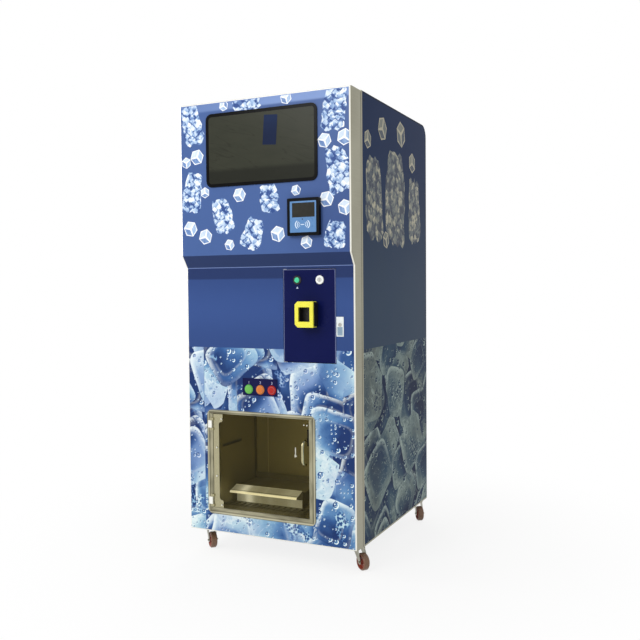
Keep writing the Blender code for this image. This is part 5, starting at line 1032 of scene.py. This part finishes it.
def side_prints():
    grey = printed_ice("side_ink", GREY_TONES, 1.5)
    for name, side, u, outward in (("right_side_print", RIGHT, WIDTH, 1), ("left_side_print", LEFT, 0, -1)):
        group = pictures(side, lambda v, h, lift: at(u + outward * lift, v, h), SIDE_HEAPS, SIDE_CUBES, 11)
        group.finish(name, "cabinet", grey)


# Fittings

# Plates are given by width, height and corner radius.
READER_INSET, READER_CORNER, READER_LINE = 0.007, 0.005, 0.0016     # both insets together
WINDOW, WINDOW_FRAME, WINDOW_LINE = (0.1065, 0.0610, 0.001), (0.1150, 0.0690, 0.0015), 0.0042
WINDOW_PLACE, WAVES_PLACE = (0.015, 0.715), (-0.02, 0.25)   # shares of the face, from its middle and foot
WAVES = ((0.0335, 0.0046), (0.0245, 0.0036), (0.0165, 0.0026))      # radius and width of each wave
WAVE_STARTS, WAVE_SWEEP, WAVE_SQUASH = (-42, 138), 84, (1.0, 0.72, 1.0)
WAVE_BAR, WAVE_DOT, DOT_RISE = (0.017, 0.0036, 0.0012), 0.0028, 0.0225
TAG, TAG_PLACE, TAG_LEAN, TAG_LIGHT = (0.066, 0.128, 0.002), (0.4705, 0, 1.812), -4, (1.83, 0.05)
NUMBER_SIZE, NUMBER_RISE = 0.016, 0.026
TRIANGLE_SIZE, TRIANGLE_DROP = 0.0062, 0.022
ARROW_HEAD, ARROW_SHAFT, ARROW_REACH = 0.0085, (0.0045, 0.034, 0.001), 0.046
HEAD_DROP, SHAFT_RISE = 0.018, 0.003
STRIP_SCREWS = ((0.183, 0.5315), (0.157, 0.399), (0.156, 0.267), (0.181, 0.134))     # U, H
PANEL_SCREWS = ((0.6024, 0.5305), (0.6168, 0.5295))
CATCH_PLACE, CATCH, CATCH_DEPTH = (0.6215, 0, 0.476), (0.0075, 0.074, 0.001), 0.0012
STRIP_SCREW, PANEL_SCREW, SHEET_SCREW = 0.0042, 0.0034, 0.0045      # radii of their heads
REAR_ROWS, REAR_INSET, TOP_COLUMNS, TOP_INSET = 7, 0.014, 5, 0.06


def against(name, point):
    """The point, moved in depth onto the front of a frame node."""
    return Vector((point.x, corners(name)[0].y, point.z))


def raised(point, rise):
    return point + Vector((0, 0, rise))


def spread(low, high, inset, count):
    """Evenly spaced places between two ends, in from each by an inset."""
    return [low + inset + (high - low - 2 * inset) * number / (count - 1) for number in range(count)]


def ink(name, colour):
    """Screen-printed mark, slightly uneven."""
    look = Look(name)
    cloud = look.noise(look.place(), 260.0, 3.0, 0.6)
    worn = shade(colour, 0.8)
    look.set(base_color=look.mix(cloud.over(0.55, 0.15) * 0.6, colour, worn), roughness=0.38 + cloud * 0.1)
    return look


def reader_marks():
    """Display window, outline and contactless waves on the card reader."""
    low, high = corners("reader_face")
    width, height = high.x - low.x, high.z - low.z

    def on_face(across, up):
        return Vector(((low.x + high.x) / 2 + width * across, low.y, low.z + height * up))

    screen, waves = on_face(*WINDOW_PLACE), on_face(*WAVES_PLACE)
    marks = Group()
    outline = (width - READER_INSET, height - READER_INSET, READER_CORNER)
    marks.add(rounded(*outline, LABEL / 2, READER_LINE), spot(FRONT, on_face(0, 0.5)))
    marks.add(rounded(*WINDOW_FRAME, LABEL, WINDOW_LINE), spot(FRONT, screen))
    for start in WAVE_STARTS:
        for radius, thick in WAVES:
            marks.add(ring_part(radius, thick, start, WAVE_SWEEP, LABEL / 2),
                      spot(FRONT, waves, 0, WAVE_SQUASH))
    marks.add(rounded(*WAVE_BAR, LABEL / 2), spot(FRONT, waves))
    marks.add(polygon(20, WAVE_DOT, LABEL), spot(FRONT, raised(waves, DOT_RISE)), 1)
    marks.add(rounded(*WINDOW, LABEL * 0.6), spot(FRONT, screen), 2)
    marks.finish("reader_marks", "door", ink("reader_white", tint(214, 230, 246)),
                 ink("reader_dot", tint(24, 40, 74)), reader_display())


def reader_display():
    look = Look("reader_display")
    cloud = look.noise(look.place(), 30.0, 3.0)
    return look.set(base_color=look.mix(cloud, tint(36, 36, 32), tint(54, 53, 48)), roughness=0.14,
                    specular_ior_level=0.15)


def screen_tag():
    """Plain dark label on the screen's glass."""
    label = Group()
    label.add(rounded(*TAG, LABEL), spot(FRONT, against("screen_glass", at(*TAG_PLACE)), TAG_LEAN))
    look = Look("tag_navy")
    _, _, z = look.split(look.place())
    cloud = look.noise(look.place(), 40.0, 4.0, 0.6)
    light = (z - BASE_Z).over(*TAG_LIGHT) * 0.6 + cloud * 0.3
    look.set(base_color=look.mix(light, tint(16, 28, 58), tint(26, 42, 76)), roughness=0.4,
             specular_ior_level=0.08)
    label.finish("screen_tag", "door", look)


def choice_places():
    """World centres of the three choice buttons."""
    names = ("green_button", "orange_button", "red_button")
    return [sum(corners(name), Vector()) / 2 for name in names]


def choice_numbers():
    """Plain numbers over the choice buttons."""
    group = Group()
    for number, centre in enumerate(choice_places(), 1):
        curve = bpy.data.curves.new("number", "FONT")
        curve.body = str(number)
        curve.size = NUMBER_SIZE
        curve.align_x = "CENTER"
        curve.extrude = LABEL / 2
        text = add_object("number", curve)
        mesh = bpy.data.meshes.new_from_object(text.evaluated_get(bpy.context.evaluated_depsgraph_get()))
        bpy.data.objects.remove(text)
        shape = bmesh.new()
        shape.from_mesh(mesh)
        bmesh.ops.remove_doubles(shape, verts=shape.verts, dist=0.000001)
        centre.y = at(0, -CHOICE_PROUD, 0).y
        group.add(shape, spot(FRONT, raised(centre, NUMBER_RISE)))
    group.finish("choice_numbers", "door", ink("number_white", tint(196, 196, 226)))


def start_mark():
    """Small triangle under the start button."""
    low, high = corners("start_button")
    place = Vector(((low.x + high.x) / 2, 0, low.z - TRIANGLE_DROP))
    group = Group()
    group.add(polygon(3, TRIANGLE_SIZE, LABEL), spot(FRONT, against("payment_panel", place)))
    group.finish("start_mark", "payment_door", ink("mark_pale", tint(190, 198, 226)))


def pull_arrow():
    """Arrow printed beside the pickup door's handle."""
    low, high = corners("pull_handle")
    place = against("pickup_panel", Vector((low.x - ARROW_REACH, 0, (low.z + high.z) / 2)))
    group = Group()
    group.add(polygon(3, ARROW_HEAD, LABEL), spot(FRONT, raised(place, -HEAD_DROP), -90))
    group.add(rounded(*ARROW_SHAFT, LABEL), spot(FRONT, raised(place, SHAFT_RISE)))
    group.finish("pull_arrow", "pickup_door", ink("arrow_white", tint(206, 204, 190)))


def pickup_screws():
    """Screws of the hinge strip, and the magnetic catch's plate and screws at the free edge."""
    group = Group()
    for u, h in STRIP_SCREWS:
        group.add(screw_head(STRIP_SCREW), spot(FRONT, at(u, -STRIP_PROUD, h)))
    for u, h in PANEL_SCREWS:
        group.add(screw_head(PANEL_SCREW), spot(FRONT, against("pickup_panel", at(u, 0, h))))
    group.add(rounded(*CATCH, CATCH_DEPTH), spot(FRONT, against("pickup_panel", at(*CATCH_PLACE))), 1)
    group.finish("pickup_screws", "pickup_door", plated("screw_bright", tint(236, 236, 228), 0.22, 0.2),
                 painted("catch_dark", tint(16, 16, 13), 0.5))


def rear_screws():
    """Screws round the rear panel and along the top cover's rear fall."""
    group = Group()
    low, high = corners("rear_panel")
    for z in spread(low.z, high.z, REAR_INSET, REAR_ROWS):
        for x in (low.x + REAR_INSET, high.x - REAR_INSET):
            group.add(screw_head(SHEET_SCREW), spot(BACK, (x, high.y, z)))
    low, high = corners("top_cover")
    for x in spread(low.x, high.x, TOP_INSET, TOP_COLUMNS):
        group.add(screw_head(SHEET_SCREW), spot(BACK, (x, high.y, low.z + REAR_INSET)))
    group.finish("rear_screws", "cabinet", plated("screw_zinc", tint(190, 190, 186), 0.3))


class ICE_OT_prints(bpy.types.Operator):
    """Print the scattered cubes and heaps on the fascia and side panels"""
    bl_idname = "ice_machine.prints"
    bl_label = "Print Pictures"

    def execute(self, context):
        fascia_print()
        side_prints()
        return {"FINISHED"}


class ICE_OT_fittings(bpy.types.Operator):
    """Add the reader's marks, labels, numbers and screws"""
    bl_idname = "ice_machine.fittings"
    bl_label = "Add Fittings"

    def execute(self, context):
        for make in (reader_marks, screen_tag, choice_numbers, start_mark, pull_arrow, pickup_screws,
                     rear_screws):
            make()
        return {"FINISHED"}


# Stage

WHITE = (1.0, 1.0, 1.0, 1.0)
FLOOR_RADIUS = 14.0
NEAR_GLOW = 0.82            # share of the white ground that lightens the shadow by the machine
GLOW_EDGE = (1.2, 0.8)      # distance over which that share grows to 1
LAMPS = (   # name, place, height that it points at, size, setting that holds its power
    ("key_lamp", (-1.2, -5.0, 4.0), 1.0, 3.2, "key_power"),
    ("fill_lamp", (-4.2, -1.6, 2.6), 1.1, 2.4, "fill_power"),
    ("back_lamp", (-2.0, 4.5, 3.4), 1.2, 2.4, "fill_power"))
CAMERA_ANGLES = (25.2302, -2.3733, -0.4848)     # yaw, pitch and roll
CAMERA_PLACE = (2.151, -3.1159, 1.1323)         # U, V, H


class ICE_OT_stage(bpy.types.Operator):
    """Set the floor, the studio light and the camera"""
    bl_idname = "ice_machine.stage"
    bl_label = "Set Stage"

    def execute(self, context):
        stage = context.scene.ice_stage
        add_floor()
        add_world(stage.world_level)
        for name, place, height, size, power in LAMPS:
            add_lamp(name, place, (0.0, 0.0, height), size, getattr(stage, power))
        add_camera(stage.lens)
        context.scene.view_settings.view_transform = "Standard"
        return {"FINISHED"}


def add_floor():
    bm = bmesh.new()
    bmesh.ops.create_circle(bm, cap_ends=True, segments=64, radius=FLOOR_RADIUS)
    mesh = bpy.data.meshes.new("floor")
    bm.to_mesh(mesh)
    bm.free()
    look = Look("floor_paper")
    x, y, _ = look.split(look.place())
    distance = (x * x + y * y) ** 0.5
    grain = look.noise(look.place(), 40.0, 3.0)
    look.set(base_color=look.mix(grain * 0.3, tint(250, 250, 248), tint(240, 240, 238)), roughness=0.9)
    glow = look.node("Emission", {"Color": WHITE, "Strength": 1.0})
    share = distance.over(*GLOW_EDGE) * (1 - NEAR_GLOW) + NEAR_GLOW
    look.surface(share * look.seen(), Wire(look, look.shader.outputs[0]), glow)
    mesh.materials.append(look.owner)
    floor = add_object("floor", mesh)


def add_world(level):
    look = Look("studio", "worlds")
    plain = look.node("Background", {"Color": WHITE, "Strength": level})
    look.surface(look.seen(), plain, look.node("Background", {"Color": WHITE}))
    bpy.context.scene.world = look.owner


def add_lamp(name, place, target, size, power):
    data = bpy.data.lights.new(name, "AREA")
    data.shape = "DISK"
    data.size = size
    data.energy = power
    lamp = add_object(name, data)
    lamp.location = place
    lamp.rotation_euler = (Vector(target) - Vector(place)).to_track_quat("-Z", "Y").to_euler()


def add_camera(focal):
    yaw, pitch, roll = (math.radians(angle) for angle in CAMERA_ANGLES)
    forward = Vector((-math.sin(yaw) * math.cos(pitch), math.cos(yaw) * math.cos(pitch), math.sin(pitch)))
    right = forward.cross(Vector((0, 0, 1))).normalized()
    above = right.cross(forward)
    right, above = (math.cos(roll) * right + math.sin(roll) * above,
                    math.cos(roll) * above - math.sin(roll) * right)
    data = bpy.data.cameras.new("camera")
    data.lens = focal
    data.sensor_width = 36.0
    camera = add_object("camera", data)
    turn = Matrix((right, above, -forward)).transposed().to_4x4()
    camera.matrix_world = Matrix.Translation(at(*CAMERA_PLACE)) @ turn
    bpy.context.scene.camera = camera


class ICE_PT_panel(bpy.types.Panel):
    """Sidebar panel with the machine's settings and steps"""
    bl_idname = "ICE_PT_panel"
    bl_label = "Ice Machine"
    bl_space_type = "VIEW_3D"
    bl_region_type = "UI"
    bl_category = "Ice Machine"

    def draw(self, context):
        for settings in (context.scene.ice_sheets, context.scene.ice_stage):
            box = self.layout.box()
            for key in settings.__annotations__:
                box.prop(settings, key)
        for step in STEPS:
            self.layout.operator(step.bl_idname)


STEPS = (ICE_OT_sheets, ICE_OT_metalwork, ICE_OT_plastics, ICE_OT_prints, ICE_OT_fittings, ICE_OT_stage)
CLASSES = (SheetSettings, StageSettings, *STEPS, ICE_PT_panel)


def register():
    for item in CLASSES:
        bpy.utils.register_class(item)
    bpy.types.Scene.ice_sheets = PointerProperty(type=SheetSettings)
    bpy.types.Scene.ice_stage = PointerProperty(type=StageSettings)


def unregister():
    del bpy.types.Scene.ice_stage
    del bpy.types.Scene.ice_sheets
    for item in reversed(CLASSES):
        bpy.utils.unregister_class(item)


def main():
    register()
    for step in STEPS:
        group, name = step.bl_idname.split(".")
        getattr(getattr(bpy.ops, group), name)()


if __name__ == "__main__":
    main()
